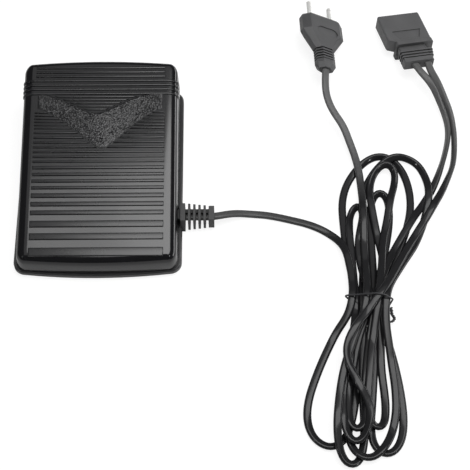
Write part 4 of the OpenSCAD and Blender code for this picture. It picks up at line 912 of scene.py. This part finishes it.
LOOK_VALUES = {
    "case": dict(color=(0.03, 0.03, 0.031), rough=0.32, grain=0.5, bump=0.1, depth=0.03),
    "foot_rubber": dict(color=(0.022, 0.022, 0.022), rough=0.75, grain=0.4, bump=0.4),
    "steel": dict(color=(0.62, 0.63, 0.65), rough=0.24, metallic=1.0, grain=0.3, bump=0.06, mottle=0.08,
                  stretch=(1, 4, 1)),
    "board": dict(color=(0.04, 0.17, 0.07), rough=0.42, grain=0.6, bump=0.25, mottle=0.3),
    "dark_plastic": dict(color=(0.03, 0.03, 0.033), rough=0.5, grain=0.4, bump=0.2),
    "white_plastic": dict(color=(0.7, 0.7, 0.67), rough=0.45, grain=0.4, mottle=0.06),
    "sink": dict(color=(0.62, 0.63, 0.64), rough=0.36, metallic=1.0, grain=0.3, bump=0.15, mottle=0.1,
                 stretch=(1, 1, 8)),
    "ferrite": dict(color=(0.06, 0.06, 0.057), rough=0.7, grain=0.25, bump=0.5, mottle=0.3),
    "copper": dict(color=(0.5, 0.19, 0.07), rough=0.3, metallic=1.0, grain=0.5, bump=0.5,
                   stretch=(1, 1, 0.2)),
    "amber_plastic": dict(color=(0.46, 0.27, 0.04), rough=0.25, grain=1.5, bump=0.2),
    "fuse_glass": dict(color=(0.7, 0.73, 0.74), rough=0.1, grain=2, bump=0.05, mottle=0.1),
    "brass": dict(color=(0.58, 0.41, 0.13), rough=0.28, metallic=1.0, grain=0.3, bump=0.08,
                  stretch=(1, 1, 4)),
    "resistor_body": dict(color=(0.17, 0.25, 0.31), rough=0.4, grain=0.8, bump=0.2, mottle=0.35),
    "green_plastic": dict(color=(0.04, 0.2, 0.09), rough=0.45, grain=0.5, bump=0.2),
    # The cord ends are painted a paler grey, a painted sheen, and made matt.
    "cord_jacket": dict(color=(0.015, 0.015, 0.016), rough=0.14, grain=0.7, bump=0.05, spread=0.04,
                        shine=0.24, sheen_and_matt=(0.1, 0.4)),
    # The relief, plug and connector get painted shade in their creases.
    "relief_rubber": dict(color=(0.046, 0.046, 0.047), rough=0.6, grain=0.35, bump=0.35, crease_shade_reach=3),
    "plug_jacket": dict(color=(0.068, 0.068, 0.07), rough=0.5, grain=0.45, bump=0.3, crease_shade_reach=4),
    "plate_lands": dict(color=(0.006, 0.006, 0.007), rough=0.12, grain=0.7, bump=0.04, depth=0.03,
                        spread=0.03),
    "plate_bars": dict(color=(0.006, 0.006, 0.007), rough=0.28, grain=0.45, bump=0.3, depth=0.04,
                       spread=0.04),
    "plate_band": dict(color=(0.012, 0.012, 0.013), rough=0.2, grain=0.9, bump=1, depth=0.2, spread=0.05),
    "connector_jacket": dict(color=(0.088, 0.088, 0.09), rough=0.5, grain=0.45, bump=0.3, crease_shade_reach=4),
    "pale_plating": dict(color=(0.82, 0.82, 0.8), rough=0.3, metallic=0.35, grain=0.3, bump=0.05, mottle=0.05,
                         stretch=(1, 4, 1)),
}
LOOKS = {name: grained(name, **values) for name, values in LOOK_VALUES.items()}
# These nodes have a look of their own. The others have that of their material slot.
NODE_LOOKS = {"connector_body": "connector_jacket", "plug_pins": "pale_plating"}
PIECE_LOOKS = ((foot_plate, ("plate_lands", "plate_bars", "plate_band")), (springs, ("steel",)),
               (tie, ("dark_plastic",)), (pedal_lead, ("cord_jacket",)), (mains_lead, ("cord_jacket",)))

for row in frame["record"]["subparts"]:
    materials = frame["nodes"][row["node"]].data.materials
    materials.clear()
    materials.append(LOOKS[NODE_LOOKS.get(row["node"], row["material_slot"])])
for piece, names in PIECE_LOOKS:
    for name in names:
        piece.data.materials.append(LOOKS[name])

# Rounded edges of the moulded pieces that show, and the angle from which an edge is rounded
EDGE_WIDTHS = {"base_shell": 0.4, "strain_relief": 0.35, "plug_body": 0.5, "connector_body": 0.5,
               "plug_pins": 0.5, "rubber_feet": 0.4}
EDGE_ANGLE = math.radians(35)
WELD_REACH = 0.01

for name, width in EDGE_WIDTHS.items():
    node = frame["nodes"][name]
    weld = node.modifiers.new("weld", "WELD")
    weld.merge_threshold = WELD_REACH * MM
    bevel = node.modifiers.new("bevel", "BEVEL")
    bevel.width = width * MM
    bevel.segments = 2
    bevel.limit_method = "ANGLE"
    bevel.angle_limit = EDGE_ANGLE
    bevel.harden_normals = False

# Floor and light: sizes and places are in metres
FLOOR_HALF = 4
FLOOR_GREY = 0.8
# To the camera the floor glows and still takes a share of shadow
SEEN_GREY, SEEN_GLOW = 0.22, 0.86
WORLD_LIGHT = 0.09
bpy.context.scene.view_settings.view_transform = "Standard"


def floor_look():
    """White to the camera but for a soft shadow, and a plain pale floor to everything that mirrors it."""
    material = bpy.data.materials.new("floor")
    material.use_nodes = True
    tree = material.node_tree
    tree.nodes.clear()
    path = add_node(tree, "ShaderNodeLightPath")
    plain = add_node(tree, "ShaderNodeBsdfDiffuse", {"Color": opaque([FLOOR_GREY] * 3)})
    pale = add_node(tree, "ShaderNodeBsdfDiffuse", {"Color": opaque([SEEN_GREY] * 3)})
    glow = add_node(tree, "ShaderNodeEmission", {"Color": (1, 1, 1, 1), "Strength": SEEN_GLOW})
    seen = add_node(tree, "ShaderNodeAddShader", {0: pale.outputs["BSDF"], 1: glow.outputs["Emission"]})
    pick = add_node(tree, "ShaderNodeMixShader", {"Fac": path.outputs["Is Camera Ray"],
                                                  1: plain.outputs["BSDF"], 2: seen.outputs["Shader"]})
    add_node(tree, "ShaderNodeOutputMaterial", {"Surface": pick.outputs["Shader"]})
    return material


def make_floor():
    """A square floor under the object."""
    corners = [(x * FLOOR_HALF, y * FLOOR_HALF, 0) for x, y in ((-1, -1), (1, -1), (1, 1), (-1, 1))]
    floor = link_object("floor", mesh_of("floor", corners, [(0, 1, 2, 3)]))
    floor.data.materials.append(floor_look())


def make_world():
    """White to the camera, and a faint even light to everything else."""
    world = bpy.data.worlds.new("world")
    bpy.context.scene.world = world
    world.use_nodes = True
    sky = world.node_tree
    path = add_node(sky, "ShaderNodeLightPath")
    level = add_mix(sky, "FLOAT", path.outputs["Is Camera Ray"], WORLD_LIGHT, 1)
    set_inputs(sky, sky.nodes["Background"], {"Color": (1, 1, 1, 1), "Strength": level})


def area_light(name, size, place, turn, radiance):
    """A rectangular light that shines down before it is turned. Radiance is how bright it looks."""
    lamp = bpy.data.lights.new(name, "AREA")
    lamp.shape = "RECTANGLE"
    lamp.size, lamp.size_y = size
    lamp.energy = radiance * math.pi * lamp.size * lamp.size_y
    light = link_object(name, lamp)
    light.location = place
    light.rotation_euler = turn


def soft_box(name, low, high, height, radiance, turn=0):
    """A light that spans low to high in x and y, and faces straight down."""
    place = ((low[0] + high[0]) / 2, (low[1] + high[1]) / 2, height)
    area_light(name, (high[0] - low[0], high[1] - low[1]), place, (0, 0, math.radians(turn)), radiance)


def standing_panel(name, x, low, high, radiance):
    """An upright light at the given x that spans low to high in y and z, and faces left."""
    place = (x, (low[0] + high[0]) / 2, (low[1] + high[1]) / 2)
    area_light(name, (high[1] - low[1], high[0] - low[0]), place, (0, math.pi / 2, 0), radiance)


def side_lamp(name, place, size, radiance):
    """A small square lamp turned to the object."""
    area_light(name, (size, size), place, Vector(place).to_track_quat("Z", "Y").to_euler(), radiance)


make_floor()
make_world()
soft_box("soft_box", low=(-0.2, -0.3), high=(1.0, 0.42), height=1.2, radiance=3.2, turn=14)
soft_box("soft_box_right", low=(-0.02, -0.3), high=(1.0, 0.42), height=1.21, radiance=1.6, turn=14)
soft_box("ceiling", low=(-0.7, -0.5), high=(1.2, 1.0), height=1.3, radiance=0.65)
standing_panel("right_panel", x=1.2, low=(-0.3, 0.01), high=(1.2, 0.2), radiance=6)
side_lamp("left_lamp", place=(-1.15, -0.75, 0.88), size=0.12, radiance=45)
side_lamp("right_lamp", place=(1.25, -0.75, 0.88), size=0.12, radiance=45)
